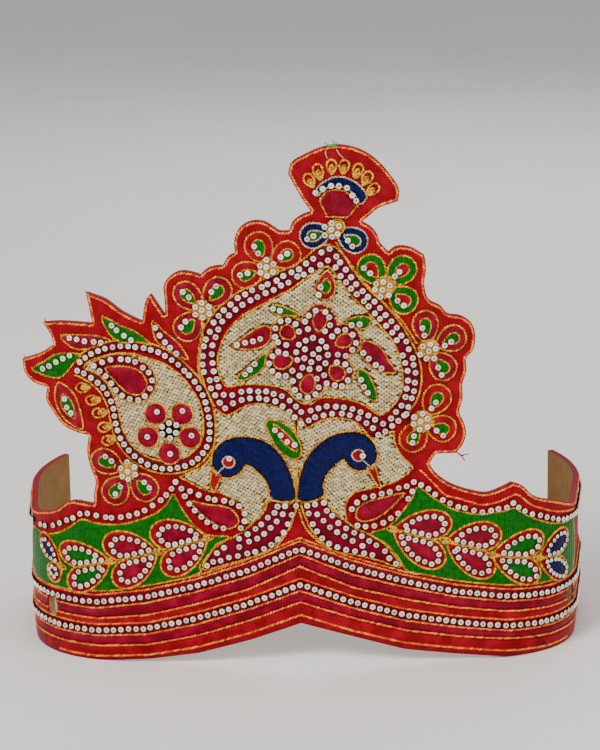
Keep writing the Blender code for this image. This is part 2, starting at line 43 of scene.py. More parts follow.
# Plan of the bent sheet, in millimetres: a shallow bow, two tight corners, straight sides, curved ends.
# Left of FLAP_AT and above FLAP_FROM the sheet goes on as a flatter flap of the front.
BOW_R = 430.0
BOW_HALF = 76.0
CORNER_R = 38.0
CORNER_TURN = math.radians(74.0)
SIDE_RUN = 30.0
BACK_R = 80.0
HALF_LENGTH = 200.0
FLAP_AT = 80.0
FLAP_FROM = 64.0
FLAP_R = 600.0
ENDLESS = 1e9
BACK_OF_CENTRE = 0.055373
# How far the band's rows run along the sheet; the lowest cord stops at the front's corners.
ROW_END = 196.0
CORD_ENDS = (-97.4, 110.4)


def line_at(line, s):
    """Height of a line of pattern points at one place along the sheet."""
    for (s0, z0), (s1, z1) in zip(line, line[1:]):
        if s0 <= s <= s1:
            return z0 + (z1 - z0) * (s - s0) / (s1 - s0)
    return line[-1][1]


# Heights of the band's rows at stations along the sheet.
ROW_STATIONS = (-120.0, -100.0, -80.0, -60.0, -40.0, -20.0, 0.0, 20.0, 40.0, 60.0, 80.0, 100.0, 120.0)
ROWS = {
    "edge": (0.0, 0.0, 0.0, 1.4, 4.6, 10.2, 17.2, 11.5, 5.7, 2.9, 0.4, 0.0, 0.0),
    "cord_1": (1.8, 1.8, 1.8, 3.2, 7.2, 13.2, 20.6, 13.9, 8.4, 5.4, 2.9, 1.8, 1.8),
    "cord_2": (6.0, 6.0, 6.0, 7.4, 11.9, 18.3, 25.8, 19.1, 13.6, 10.2, 7.9, 6.4, 6.0),
    "cord_3": (10.2, 10.2, 10.2, 11.7, 16.6, 22.9, 30.4, 23.1, 17.5, 13.9, 11.2, 10.2, 10.2),
    "stones_low": (12.6, 12.6, 12.6, 14.2, 19.2, 25.5, 33.2, 25.8, 20.0, 16.2, 13.4, 12.4, 12.6),
    "cord_4": (17.2, 17.2, 17.2, 19.5, 24.7, 31.0, 40.2, 31.5, 26.2, 21.9, 19.1, 17.6, 17.2),
    "cord_5": (21.4, 21.4, 21.4, 24.5, 29.7, 36.1, 45.0, 36.7, 31.1, 26.3, 23.2, 21.6, 21.4),
    "stones_mid": (24.1, 24.1, 24.2, 27.2, 32.3, 39.0, 47.6, 39.7, 33.5, 28.6, 25.5, 24.0, 24.1),
    "cord_6": (26.8, 26.8, 26.8, 29.8, 34.9, 41.8, 50.4, 42.3, 36.0, 31.1, 28.0, 26.4, 26.8),
}
BAND_TOP = 54.0
# Outlines on the flat sheet: s along it from the middle of the front, z above the table.
TOP_EDGE = (
    (-120, 54), (-113, 54.6), (-106, 56.3), (-100, 57.8), (-96, 59.6), (-92, 62.6), (-88.5, 64.0),
    (-85, 63.9), (-79.6, 63.4), (-79.4, 68), (-78.6, 73), (-80.4, 78), (-81.6, 84), (-80.7, 91), (-86, 92),
    (-91.5, 94.6), (-95.2, 99.5), (-97.9, 104), (-97.2, 109), (-103, 110.6), (-106.6, 114.5),
    (-107.2, 119.6), (-100, 122.2), (-93.8, 126), (-95, 130), (-98.2, 134.4), (-91, 135.2), (-77.6, 135),
    (-79.8, 147), (-72.6, 144.6), (-66, 139.9), (-58.4, 136.2), (-56.2, 145.5), (-54.8, 147),
    (-52.5, 143.4), (-49.4, 138.6), (-49.4, 145), (-49.6, 150.6), (-47.2, 154), (-43, 156), (-38, 155.4),
    (-35.7, 154.6), (-33, 157), (-29.3, 158.1), (-27.2, 158.1), (-24.9, 161.7), (-22.4, 163),
    (-22.4, 168.4), (-20.4, 172.6), (-15.5, 175.2), (-11, 174.8), (-7.2, 172.4), (-5.6, 171.4),
    (-2, 171.3), (-0.6, 174.6), (2.4, 177), (6.4, 178.6), (3.6, 182.6), (0.2, 188.6), (-2, 193),
    (-0.8, 196.8), (4, 199.8), (9.5, 202.2), (15, 203.4), (21, 202.8), (27, 200.4), (32, 196.4),
    (36.4, 191), (39.2, 186), (38.6, 181.8), (31, 179.2), (27.4, 176.2), (25, 174.4), (28.6, 172.2),
    (31, 169), (31.8, 166.3), (35, 162.6), (38, 164.6), (43, 164.2), (48.4, 161), (49, 156), (48.3, 150),
    (50, 144), (54.6, 141.2), (57, 138.3), (62, 137.2), (66.2, 134.2), (67.6, 129), (66.6, 123.6),
    (64.2, 121), (64.2, 116), (62.6, 110.8), (62.7, 105), (61.4, 100), (63.4, 95), (64, 91), (62.4, 86.6),
    (60, 83.8), (52.2, 83.8), (49.8, 80), (52, 76.4), (56, 72.8), (60, 70.6), (66, 68.4), (72, 67.2),
    (77.6, 68.8), (82, 70.6), (86, 69), (90, 64.9), (95, 62.3), (100, 60.8), (109, 57.6), (116, 55.4),
    (120, 54.4))
HOLE_WIDE = 5.4
HOLE_HIGH = 9.0
HOLES = {"hole_left": (-101.5, 18.7), "hole_right": (114.5, 18.7)}
# Half width and half height of the part of the sheet that is cut finer for a hole.
ROUND_HOLE = (9.0, 12.0)
GREEN_LEFT = (
    (-118, 46), (-106, 47.3), (-100, 48.6), (-94.7, 50.6), (-90, 53.4), (-85, 57), (-80, 56.3),
    (-76, 55.8), (-70, 56), (-65.4, 56.9), (-60, 58.8), (-55, 61.2), (-50.8, 65), (-48.3, 69), (-46.4, 66),
    (-43.8, 61.3), (-41, 57.4), (-38.3, 54.8), (-35, 52.6), (-27, 52), (-32.6, 47.4), (-36, 43.6),
    (-38.6, 40), (-40, 36.6), (-60, 31.4), (-80, 28.4), (-118, 28.4))
GREEN_RIGHT = (
    (118, 49), (110, 49.6), (100, 51.4), (95, 53.4), (90, 55.7), (85, 59), (82.3, 60.8), (80, 60),
    (75, 59.4), (70, 59), (65, 59.8), (58.6, 61.8), (54.7, 64.2), (50.8, 67), (45.2, 71), (43, 66.5),
    (41, 63.8), (37, 58.5), (33, 55), (27, 53), (33, 48.6), (37.6, 42.8), (41, 37.6), (50, 35.2),
    (60, 32.7), (80, 29.6), (100, 28), (118, 28.4))
MANGO = (
    (12.2, 157.8), (5.2, 154.4), (-1.9, 149.3), (-7.2, 146.6), (-12, 143.8), (-19.8, 139.4),
    (-25.5, 133.7), (-28.7, 127.6), (-30, 121), (-29.2, 116), (-26.5, 111.6), (-20, 112.4), (-10, 112),
    (-4, 110), (0, 105.8), (5, 104.6), (9.5, 107), (18, 106.3), (24, 104.4), (29, 101), (31.8, 99.7),
    (36, 103), (39.3, 108), (40.2, 114), (39, 122), (36.4, 128.5), (32.2, 134), (26, 141.2), (20.6, 147),
    (17, 152))
PAISLEY = (
    (-81.6, 117.6), (-78.4, 121), (-73.5, 122.8), (-68.6, 124), (-62, 124), (-56.2, 122.4), (-51.4, 120.9),
    (-47.6, 118.8), (-43.5, 115.5), (-40.5, 111.6), (-38, 107.6), (-36.3, 103), (-35.6, 98), (-35.8, 93),
    (-37.2, 88.8), (-39.9, 85.8), (-43.2, 83.4), (-49, 81.8), (-55, 82.2), (-60, 84.4), (-64.4, 88.6),
    (-67.4, 95), (-68.8, 102), (-71.4, 109.4), (-75.6, 114.8))
BIRD_LEFT = (
    (-1.2, 98), (-6.5, 103), (-11, 104.8), (-17, 105), (-22, 103), (-27, 100.4), (-31.2, 102.6),
    (-31.2, 93), (-32.6, 86.4), (-36, 80.6), (-45, 76), (-42, 73.8), (-36, 70.6), (-29, 69.2), (-23.2, 65),
    (-20.9, 59.8), (-19.6, 57.2), (-14, 61), (-12, 66.8), (-1.2, 67.4))
BIRD_RIGHT = (
    (0.2, 98), (3.6, 95.6), (8, 98), (14, 99.2), (20, 98.4), (24.2, 95.4), (28, 91), (33, 92.4),
    (36.4, 93.4), (36.8, 89), (39.2, 84.0), (43.4, 79), (39.6, 75), (34, 72.4), (27, 70.8), (20, 68.6),
    (17.6, 62.8), (18.2, 58.6), (14, 60.6), (10.6, 65.4), (9.2, 68), (0.2, 67.4))
NECK_LEFT = (
    (-9.8, 67.8), (-2.2, 67.4), (-2.4, 73), (-4, 79), (-7, 84.6), (-11.4, 89), (-16.6, 91.2), (-22, 91.4),
    (-27, 90.4), (-30.6, 87.4), (-32.2, 83.4), (-31.8, 79.2), (-28.6, 76.6), (-25, 76.8), (-22, 79),
    (-20, 81.6), (-16.4, 79.8), (-13, 76.4), (-10.8, 72))
NECK_RIGHT = (
    (0.4, 67.4), (8.4, 68.4), (8.7, 73), (10.4, 77.4), (13.6, 81), (17, 83.4), (19.4, 80.6), (22.4, 79),
    (26, 79.2), (28.8, 82), (29.3, 86), (27.6, 89.6), (24.4, 92.4), (19.6, 93.2), (14.6, 92.4), (10, 90),
    (5.6, 86), (2.6, 81), (0.8, 75))
BEAK_LEFT = ((-32.6, 78.4), (-29.8, 76), (-32.4, 70.4), (-33.6, 74))
BEAK_RIGHT = ((26.8, 78.4), (29, 79.8), (31, 72.2), (29.8, 72.4))
WING_LEFT = (
    (-41.6, 66.2), (-35, 65.2), (-28, 64.4), (-24.4, 62), (-23, 58.8), (-24.2, 56.6), (-28, 55.4),
    (-33, 57.6), (-38, 61.6))
WING_RIGHT = (
    (40, 69), (33, 67.8), (26, 66), (22.2, 63.4), (21.6, 60), (23.6, 58.2), (28, 58.6), (33, 61.4),
    (37.4, 65.6))
CREST_LEAF = (
    (-12, 98), (-7, 98.4), (-2.4, 95.2), (0.8, 90), (1.2, 85), (-1.6, 83.2), (-6, 85.4), (-9.6, 90.4))
SCALLOP = (
    (12.2, 176.6), (9.4, 182.8), (12, 186.2), (15.2, 187), (19, 186.4), (22, 183.6), (23.6, 180.4),
    (19.8, 176))
FAN_ARC = (
    (8.6, 184.4), (8.6, 187.4), (11.3, 189.9), (14.6, 191.4), (18, 191.6), (22, 190), (25.3, 187.4),
    (27.2, 183.7), (24.4, 181), (22.6, 184.4), (19.4, 187.2), (15.2, 187.9), (11.4, 187))
DROP = (
    (-73, 117.6), (-68.8, 118.9), (-63.4, 118.8), (-59, 116.8), (-56.8, 112.8), (-58, 109.4), (-61, 107.8),
    (-66, 109.6))
LEAVES = {
    "leaf_edge_low": (
        (-103, 116), (-97, 119.8), (-92.9, 122.3), (-86, 123.2), (-82.4, 122.4), (-86, 118.6),
        (-90.6, 113.6), (-95.4, 113), (-100.4, 114.4)),
    "leaf_edge_red": (
        (-90.6, 129.6), (-83, 130.5), (-76, 130.5), (-70.6, 128.7), (-75, 126.9), (-80.6, 124.9),
        (-86, 125.2)),
    "leaf_edge_high": (
        (-73.6, 138), (-66.5, 134.8), (-60.6, 132.4), (-54.8, 127.5), (-60, 128.2), (-67, 128.2),
        (-71.6, 132)),
    "leaf_edge_slim": (
        (-54.2, 136.6), (-50, 133), (-44, 127.8), (-41, 122), (-46, 124.2), (-51.6, 127.6), (-53.8, 131)),
    "leaf_side": (
        (-92.4, 111.2), (-87.2, 108.6), (-84.2, 103.2), (-82.8, 93.6), (-88.4, 95.4), (-92.4, 99.8),
        (-94.0, 105.4)),
    "leaf_mango_green": ((-8.6, 143.4), (-4, 142.6), (2, 139.2), (-3.6, 139.3), (-8.4, 140)),
    "leaf_mango_red": (
        (-20.4, 130.6), (-14, 134.8), (-10, 135), (-9.6, 130), (-14, 126.6), (-20, 126.2), (-24, 127.6)),
    "leaf_mango_low": (
        (-22.6, 115.4), (-16, 121.4), (-11.6, 124.8), (-12, 120), (-15, 116.6), (-20, 114.2)),
    "leaf_right_green": ((18.6, 137.2), (24, 138.6), (28, 137.6), (26.8, 134), (23.4, 133.8), (20, 135.6)),
    "leaf_right_red": ((25.4, 129), (31, 127), (35, 120.6), (37.4, 116.4), (31, 117), (26, 121), (24, 125)),
    "leaf_right_low": ((23, 118), (26.6, 116.6), (29.6, 110), (29.8, 105.4), (26.6, 107), (23.6, 112.4)),
    "mango_drop": ((12, 156.4), (15, 151), (14, 146.6), (11, 145), (8, 147), (7.6, 151)),
}
# Flowers: hub, its radius, then the middle, width and length of each petal.
FLOWERS = {
    "flower_left": ((-65.4, 77.6), 4.0, (
        (-74.2, 81.0, 10.0, 12.0), (-70.8, 69.2, 10.6, 11.4), (-59.2, 71.0, 10.6, 11.6))),
    "flower_shoulder": ((-35.0, 141.4), 4.0, (
        (-40.5, 146.7, 10.0, 12.0), (-29.2, 148.4, 10.4, 12.0), (-40.8, 134.6, 10.6, 11.6))),
    "flower_high": ((-10.4, 157.6), 4.0, (
        (-13.3, 165.6, 10.6, 11.6), (-18.2, 154.8, 10.2, 11.4), (-2.9, 162.4, 10.4, 10.8))),
    "flower_top": ((14.8, 171.6), 3.6, ((7.2, 169.6, 9.8, 10.8), (22.0, 167.6, 9.6, 11.2))),
    "flower_right_high": ((33.4, 149.6), 4.4, (
        (28.6, 156.6, 10.4, 11.6), (40.0, 155.8, 10.6, 11.6), (40.6, 144.2, 10.6, 11.0))),
    "flower_right": ((49.8, 125.2), 4.2, (
        (48.6, 134.4, 9.8, 11.8), (59.0, 128.9, 10.2, 10.8), (55.2, 117.8, 10.2, 11.2))),
    "flower_right_low": ((47.2, 97.0), 4.4, (
        (52.8, 105.6, 10.8, 11.8), (54.8, 93.8, 10.4, 11.0), (43.8, 90.6, 10.6, 11.6))),
    "paisley_flower": ((-48.8, 94.8), 3.6, (
        (-53.9, 100.6, 8.0, 8.0), (-43.9, 100.6, 8.0, 8.0), (-57.2, 91.4, 8.0, 8.0),
        (-41.0, 91.6, 8.0, 8.0), (-49.2, 85.2, 8.0, 8.0))),
    "mango_flower": ((7.2, 124.2), 6.0, (
        (9.0, 137.0, 5.6, 8.4), (-3.0, 132.6, 5.8, 6.4), (-5.0, 121.6, 5.8, 7.8), (4.2, 112.8, 5.8, 8.0),
        (15.0, 117.0, 6.0, 7.0), (17.8, 129.2, 5.4, 7.0))),
}
# Middle lines of the bead rows.
STONE_LINES = {
    "stones_mango": (
        (-33, 113.6), (-33.8, 120), (-33, 127.4), (-31.2, 133.6), (-27.2, 139), (-20.6, 144.6),
        (-13, 148.8), (-4.2, 153), (4, 157), (11.4, 162.6), (15.4, 160), (19, 154), (24.4, 147),
        (30.6, 140.6), (36, 134), (40, 127), (43, 120), (43.6, 114), (42.4, 107.6), (38.6, 101.6)),
    "stones_paisley": (
        (-82.9, 120), (-77.9, 123.4), (-72, 125.9), (-65.2, 126.9), (-58.5, 126.4), (-52.3, 124.7),
        (-47, 121.8), (-42.3, 117.5), (-38.2, 112.8), (-35.2, 107), (-33.6, 100), (-33.4, 94),
        (-34.6, 88.2), (-38, 83.6), (-42.4, 80.6), (-48, 79.2), (-53.6, 79.4), (-59.6, 81.6),
        (-64.6, 85.6), (-68, 91), (-69.6, 97), (-70.7, 103.4), (-73.6, 109.6), (-78.3, 114), (-84, 116.6)),
    "stones_birds": (
        (-28.6, 104), (-22, 106.8), (-15, 108.8), (-9, 108), (-3, 104.6), (2, 99), (7, 100.6), (13, 102),
        (19, 101), (24.4, 98), (29, 94), (34, 96.8)),
}


def row_line(name, start=-ROW_END, stop=ROW_END):
    """Pattern points of one band row, level beyond the corners."""
    heights = list(zip(ROW_STATIONS, ROWS[name]))
    table = [(-HALF_LENGTH, heights[0][1])] + heights + [(HALF_LENGTH, heights[-1][1])]
    inner = [(s, z) for s, z in table if start < s < stop]
    return [(start, line_at(table, start))] + inner + [(stop, line_at(table, stop))]


def soften(line, steps=4, sharp=0.75):
    """The line with its gentle bends rounded; a turn of more than `sharp` radians stays a corner."""
    p = np.asarray(line, float)
    run = np.diff(p, axis=0)
    full = np.linalg.norm(run, axis=1)
    way = run / full[:, None]
    out = []
    for i in range(len(run)):
        slopes = []
        for a, b in ((i - 1, i), (i, i + 1)):
            gentle = 0 <= a and b < len(run) and np.dot(way[a], way[b]) > math.cos(sharp)
            slope = way[a] + way[b] if gentle else way[i]
            slopes.append(slope / np.linalg.norm(slope) * full[i])
        for t in np.linspace(0.0, 1.0, steps, endpoint=False):
            out.append(p[i] * (1 - t) ** 2 * (1 + 2 * t) + slopes[0] * t * (1 - t) ** 2
                       + p[i + 1] * t * t * (3 - 2 * t) - slopes[1] * t * t * (1 - t))
    return [tuple(point) for point in out] + [tuple(p[-1])]


def crown_outline():
    """The whole sheet's outline: the top edge, then the lower rim back."""
    lower = list(zip(ROW_STATIONS, ROWS["edge"]))
    lower = [(HALF_LENGTH, 0.0)] + lower[::-1] + [(-HALF_LENGTH, 0.0)]
    return [(-HALF_LENGTH, BAND_TOP)] + soften(TOP_EDGE) + [(HALF_LENGTH, BAND_TOP)] + lower


# Stones set one by one, in pattern millimetres (s, z), motif by motif.
STONE_SPOTS = {
    "fan_stones": (
        (8.2, 185.8), (10.9, 187.3), (13.8, 188.4), (16.7, 188.5), (19.8, 187.4), (21.6, 184.7),
        (23, 182.5)),
    "flower_top_stones": (
        (13.9, 174.4), (16.6, 173.3), (13.5, 172.1), (16.1, 170.3), (13.8, 169.2), (11.3, 173.2),
        (11.3, 169.9), (7.1, 169.7), (4.8, 168.4), (19.8, 167.8), (21.5, 165.5)),
    "flower_high_stones": (
        (-10.5, 160.8), (-13, 158.6), (-10.6, 158), (-8.1, 159.1), (-12.9, 155.9), (-10.5, 154.8),
        (-8.1, 156.2), (-14.9, 165.9), (-13.4, 163.4), (-20.5, 154.9), (-17.7, 155.6), (-5.2, 161.8),
        (-2.7, 163)),
    "flower_shoulder_stones": (
        (-35.1, 144.3), (-37.6, 142.6), (-37.7, 139.8), (-35, 141.6), (-32.3, 142.7), (-32.3, 140),
        (-34.8, 138.6), (-42, 148.5), (-39.9, 146.4), (-29.5, 150.7), (-31.4, 148.4), (-41.4, 137),
        (-43.2, 134.8)),
    "flower_right_high_stones": (
        (30.1, 150.9), (33, 151.8), (35.2, 150.1), (32.4, 148.9), (29.7, 148.9), (34.8, 146.6),
        (31.8, 145.8), (25.7, 157.1), (27.9, 155.1), (38.8, 155.3), (37.1, 153.6), (38, 144.3),
        (40.3, 142.2)),
    "flower_right_stones": (
        (47.2, 126.4), (50.1, 127), (52.3, 125.4), (49.6, 124.6), (46.4, 123.3), (48.8, 121.7),
        (51.7, 121.7), (47.2, 133.5), (48.1, 130.4), (55.9, 126.5), (58.3, 127.7), (53, 118), (54.4, 115)),
    "flower_right_low_stones": (
        (44, 99), (47.2, 100.2), (49, 98.1), (46.4, 97.3), (43.9, 96.4), (46, 93.9), (49, 94.9),
        (41, 100.3), (52.3, 104.3), (50.7, 102.2), (52.5, 93.2), (54.9, 91.2), (43.9, 91.5), (43.4, 88.9)),
    "flower_left_stones": (
        (-65.4, 77.6), (-65.4, 81.5), (-62.7, 79.6), (-68, 79.1), (-67.6, 75.7), (-65.1, 74.5),
        (-62.3, 76.6), (-74.1, 83.2), (-71.6, 81.6), (-68.5, 71.3), (-70.5, 68.5), (-59, 73.5),
        (-57.1, 71.4)),
    "leaf_stones": (
        (-98, 116.6), (-95.3, 117.9), (-92.5, 119.6), (-89.5, 121.1), (-86.8, 122.4), (-86.3, 129.2),
        (-83.7, 129), (-80.3, 128.5), (-76.8, 128.4), (-74.2, 128.3), (-69.8, 135), (-67.8, 133.2),
        (-65.1, 131.2), (-62.4, 129.6), (-52.9, 134.3), (-51.4, 131.5), (-49.4, 128.9), (-47.5, 126.7),
        (-45.2, 124.6), (-89.5, 105.1), (-88.6, 102), (-87, 99.7)),
    "mango_leaf_stones": (
        (-8.3, 142.3), (-5.8, 141.4), (-22.1, 128.2), (-19.2, 129), (-16, 129.5), (-13.3, 130.5),
        (-15.6, 120.8), (-17.4, 118.5), (-19.4, 116.6), (20.9, 135.4), (23.7, 135.8), (25.2, 124.6),
        (27.1, 122.4), (29.6, 120), (31.8, 118.5), (24.1, 114.5), (25, 111.5), (26.6, 109), (9.6, 150.3),
        (8.7, 147.4)),
    "paisley_drop_stones": (
        (-77, 119.1), (-73.8, 120.6), (-70.5, 121.7), (-66.6, 122.1), (-63.8, 121.9), (-61, 121),
        (-58.2, 118.9), (-55.8, 117), (-54.9, 114.1), (-55.5, 110.9), (-57.6, 107.8), (-60.3, 106.2),
        (-63.5, 106.6), (-66.4, 107.9), (-68.8, 109.9), (-70.6, 112.6), (-72.6, 115.4), (-74.9, 117.2)),
    "paisley_flower_stones": (
        (-53.3, 102), (-43.5, 102.4), (-57.4, 91.9), (-40.1, 92.7), (-48.6, 85.2), (-48.5, 97.5),
        (-51.5, 96), (-45.9, 96.7), (-48.7, 94.6), (-51.4, 93), (-46.1, 93.7), (-48.6, 91.4)),
    "mango_rows": (
        (-27.1, 103.4), (-29.1, 105.4), (-31, 108.4), (-32.3, 111.1), (-32.9, 114.2), (-35, 117.3),
        (-35.3, 120.3), (-35.2, 123.7), (-34.8, 127.4), (-33.8, 130), (-32.4, 133.1), (-30.8, 136.5),
        (-28.9, 139.2), (-26.9, 141.3), (-24.2, 143.5), (-21.5, 146.2), (-18.8, 147.7), (-16.1, 148.9),
        (-12.5, 150.3), (-10.2, 151.5), (-7, 152.8), (-4.3, 154.4), (-1.3, 155.7), (1.4, 157.1),
        (4.3, 159.1), (6.8, 160.9), (9.9, 163.4), (12.9, 164.6), (15.3, 161.7), (17, 159.4), (18.8, 156.5),
        (20.9, 153.6), (22.8, 151), (25, 148.3), (27.1, 146), (29.6, 144.1), (31.4, 141.5), (33.7, 138.9),
        (35.7, 136.5), (37.8, 133.8), (39.4, 130.6), (41.3, 128.3), (42.1, 125.3), (43.6, 122),
        (44, 119.1), (44.6, 116), (44.6, 112.3), (44, 109.1), (43.2, 106.2), (42, 102.9), (40.4, 99.7),
        (38, 97.6), (35.5, 95.7), (32.9, 93.5), (-27.6, 108.7), (-29.4, 111.7), (-30.3, 114.6),
        (-31.3, 117.6), (-31.7, 121), (-31.8, 124.1), (-31.3, 127.9), (-30.3, 131.1), (-29.3, 134),
        (-27.5, 137.1), (-25.1, 139.5), (-22.5, 141.7), (-19.8, 143.3), (-16.8, 145.2), (-14.1, 146.6),
        (-10.9, 148), (-8.1, 149.2), (-5.3, 150.9), (-2.5, 151.9), (0.9, 154.4), (3.3, 155), (6.1, 156.7),
        (9.4, 158.4), (12.5, 160.2), (15, 157.6), (16.9, 154.1), (19.1, 151.8), (20.9, 149.1),
        (22.9, 146.9), (25.4, 144.1), (27.3, 142.2), (29.7, 139.6), (31.4, 137.4), (33.7, 134.8),
        (35.9, 131.9), (37.5, 128.9), (39.9, 123.2), (41, 120.2), (41.7, 116.9), (41.8, 113.2),
        (41.3, 110.1), (40.8, 107), (39.3, 103.5), (37.2, 101)),
    "bird_rows": (
        (-24.4, 108.6), (-21, 109.9), (-17.9, 110.4), (-14.6, 109.9), (-11.6, 109.9), (-8.7, 109),
        (-5.7, 108.2), (-2.8, 106.4), (-0.5, 103.9), (1.5, 101.9), (5, 102.5), (8, 103.2), (11, 103.9),
        (14.5, 103.8), (17.5, 103.5), (20.8, 102.6), (23.7, 101.4), (26.6, 99.9), (29.3, 98.3),
        (32.4, 96.7), (35.3, 98.6), (-29.2, 105.5), (-24.2, 105.2), (-21, 106.5), (-17.7, 107.2),
        (-14.6, 107.3), (-11.5, 106.8), (-8.1, 106), (-5.5, 104.1), (-2.9, 101.9), (-1, 99.7), (1.2, 97.1),
        (4.1, 98.5), (6.7, 99.8), (10, 100.4), (13.1, 101), (16.7, 101), (19.7, 100.4), (22.9, 98.9),
        (25.8, 97), (28.4, 95), (30.4, 92.3)),
    "mango_flower_stones": (
        (-5.6, 137.1), (-2.8, 137.6), (0, 136.1), (1.1, 133.4), (-7.6, 134.7), (-7.7, 131.3),
        (-6.7, 129.2), (-3.7, 128.2), (1.1, 128.2), (3.5, 137.1), (4.9, 139.3), (4.5, 134.2), (7.5, 141.3),
        (11.3, 140.8), (12.6, 138.6), (12.8, 135.6), (10.9, 133.3), (13.5, 131.2), (6.3, 130.8),
        (3.6, 129.8), (9.5, 129.5), (15.4, 133.4), (18.3, 133.6), (21, 131.7), (22.2, 128.6), (21, 125.9),
        (18.5, 123.6), (15.5, 124.2), (15.2, 121.2), (18.3, 120.4), (19.7, 118), (19.2, 114.2),
        (17, 111.9), (14.1, 112.4), (11.2, 113.1), (10.2, 116.4), (8.2, 111.6), (7.6, 114.9), (6.9, 108.9),
        (4.2, 107.7), (0.8, 108.4), (-0.7, 110.9), (-1.3, 114.1), (1, 116.3), (-1.7, 118.1), (-4.2, 116.2),
        (-6.8, 116.4), (-9.1, 118), (-10.3, 120.9), (-9, 123.8), (-6.8, 125.5), (-3.9, 124.7),
        (-0.1, 125.2), (0.4, 122.3), (2.2, 119.4), (4.8, 118.8), (8.4, 118.9), (3, 123.1), (5.5, 121.4),
        (3.2, 126.5), (6.2, 124.5), (8.5, 126.3), (8.5, 123), (11.1, 127.2), (11.9, 124.2), (10.7, 121)),
    "bird_stones": (
        (-26.1, 83.8), (24.3, 84.5), (-8.4, 95), (-6.3, 93), (-3.9, 90.6), (-1.3, 89.2), (-43.5, 68.6),
        (-41.8, 65.5), (-39.8, 63), (-37.5, 60.6), (-35, 58.3), (-32, 56.8), (-28.9, 56), (-22.4, 56.2),
        (-20.8, 59), (-20.8, 62), (-22.8, 64.9), (-25.5, 66.2), (-28.4, 66.9), (-32, 67.4), (-34.7, 67.9),
        (-38.1, 69.1), (-41.4, 70.6), (-44.6, 71.6), (20.2, 63.4), (22, 66.1), (24.7, 68), (28.1, 68.6),
        (31.4, 69.2), (34.6, 69.9), (37.8, 71.2), (41.1, 72), (43.6, 73.6), (43, 69.8), (41.4, 66.9),
        (37.5, 61.2), (34.8, 59.4), (32, 57.7), (28.5, 56.7), (25, 56.4), (22.1, 57)),
    "tail_left_stones": (
        (-8.3, 64.6), (-9.3, 62), (-12, 60.2), (-14.5, 57.4), (-16.8, 55.6), (-19.8, 53.5), (-23.1, 51.7),
        (-5.3, 64.6), (-6.2, 61.6), (-8.6, 58.7), (-10.8, 56.1), (-13.5, 53.7), (-16.2, 51.8),
        (-19.4, 50.5), (-23.1, 48.2), (-29, 47.9), (-31.7, 45.6), (-33.4, 42.2), (-35.8, 40.5),
        (-1.2, 64.6), (-2.9, 61.2), (-4.4, 57.4), (-6, 54.2), (-8.4, 51.3), (-10.8, 49.2), (-13.6, 47.6),
        (-16.9, 46.4), (-20.1, 45.7), (-23.7, 44.7), (-27.1, 44), (-30.4, 42.7)),
    "tail_right_stones": (
        (9.2, 66), (10.4, 62.7), (12.5, 60.7), (14.9, 57.8), (17.7, 55.5), (20.9, 53.8), (23.9, 52.2),
        (26.6, 50.4), (29.4, 48.4), (32.4, 46), (34.3, 43.2), (36.7, 40.9), (6.1, 65.2), (7, 61.3),
        (9.3, 58.8), (11.6, 56), (14.2, 54.1), (17.2, 52.3), (20.1, 50.5), (24, 48.4), (2.9, 65),
        (3.7, 61.5), (5.1, 57.4), (6.6, 54.5), (8.6, 51.6), (11.3, 49.5), (14.3, 48), (17.7, 46.9),
        (21, 46.4), (24.5, 45.4), (27.7, 44.6)),
    "band_top_left": (
        (-115, 50.5), (-106.5, 51), (-103, 51.3), (-98.3, 52.8), (-94.5, 54.1), (-91, 56), (-87.8, 57.6),
        (-85, 59.4), (-82, 59.8), (-78.4, 59.3), (-75, 58.8), (-72.4, 58.7), (-69, 59.1), (-65.6, 59.9),
        (-62.4, 61), (-59.4, 62.2), (-56.2, 64.2), (-53.3, 66.4), (-50.8, 68.6), (-48.6, 71.2),
        (-47.1, 73.9)),
    "band_top_right": (
        (46.7, 72.2), (49.3, 70.3), (51.8, 68), (54.6, 65.5), (57.6, 64.2), (60.7, 62.6), (63.5, 61.9),
        (66.8, 60.7), (70, 59.8), (73.4, 60.4), (76.3, 60.9), (79.3, 61.2), (81.9, 62.7), (83.9, 60.8),
        (86.5, 58.9), (89.6, 57.4), (93.2, 56), (96.5, 54.5), (99.5, 53.5), (102.8, 52.3), (106, 51.5),
        (109, 51.2)),
}
# The band's bead row goes on from the last stone seen in front, round to each back end.
BAND_TOP_ON = {"left": ((-118, 50.2), (-140, 49), (-196, 49)), "right": ((112, 50.9), (140, 49), (196, 49))}
BAND_LINE_RIGHT = (
    (46.7, 77.3), (50.7, 73), (55.7, 67.5), (60.2, 66), (66, 63.9), (70, 62.7), (75, 63.1), (80, 64.8),
    (83.9, 65.6), (89.7, 60.8), (95, 58.4), (100.3, 56.2), (109.5, 53.8), (118, 52.4))
MANGO_LINE_LEFT = (
    (-34.8, 136), (-35.3, 128.8), (-36.4, 124), (-36.7, 119.3), (-35.7, 115.4), (-34.3, 110.2),
    (-31.6, 104.3))
MANGO_LINE_RIGHT = (
    (15.6, 166.7), (18.6, 161.4), (21.7, 157.3), (24.4, 152.9), (27.5, 149.4), (32.8, 143.6),
    (35.6, 140.6), (39.7, 136.4), (43.7, 130.1), (45.1, 127.7))
TAIL_LINES = (
    ((-0.8, 64), (-2.2, 60), (-3.6, 56), (-7.2, 52), (-12, 46.8)),
    ((0.1, 63), (1.3, 58), (3.6, 54), (7.6, 49.8), (12.5, 45.6)))
NECK_LINE = ((-1, 67), (-1, 74), (-1, 82))
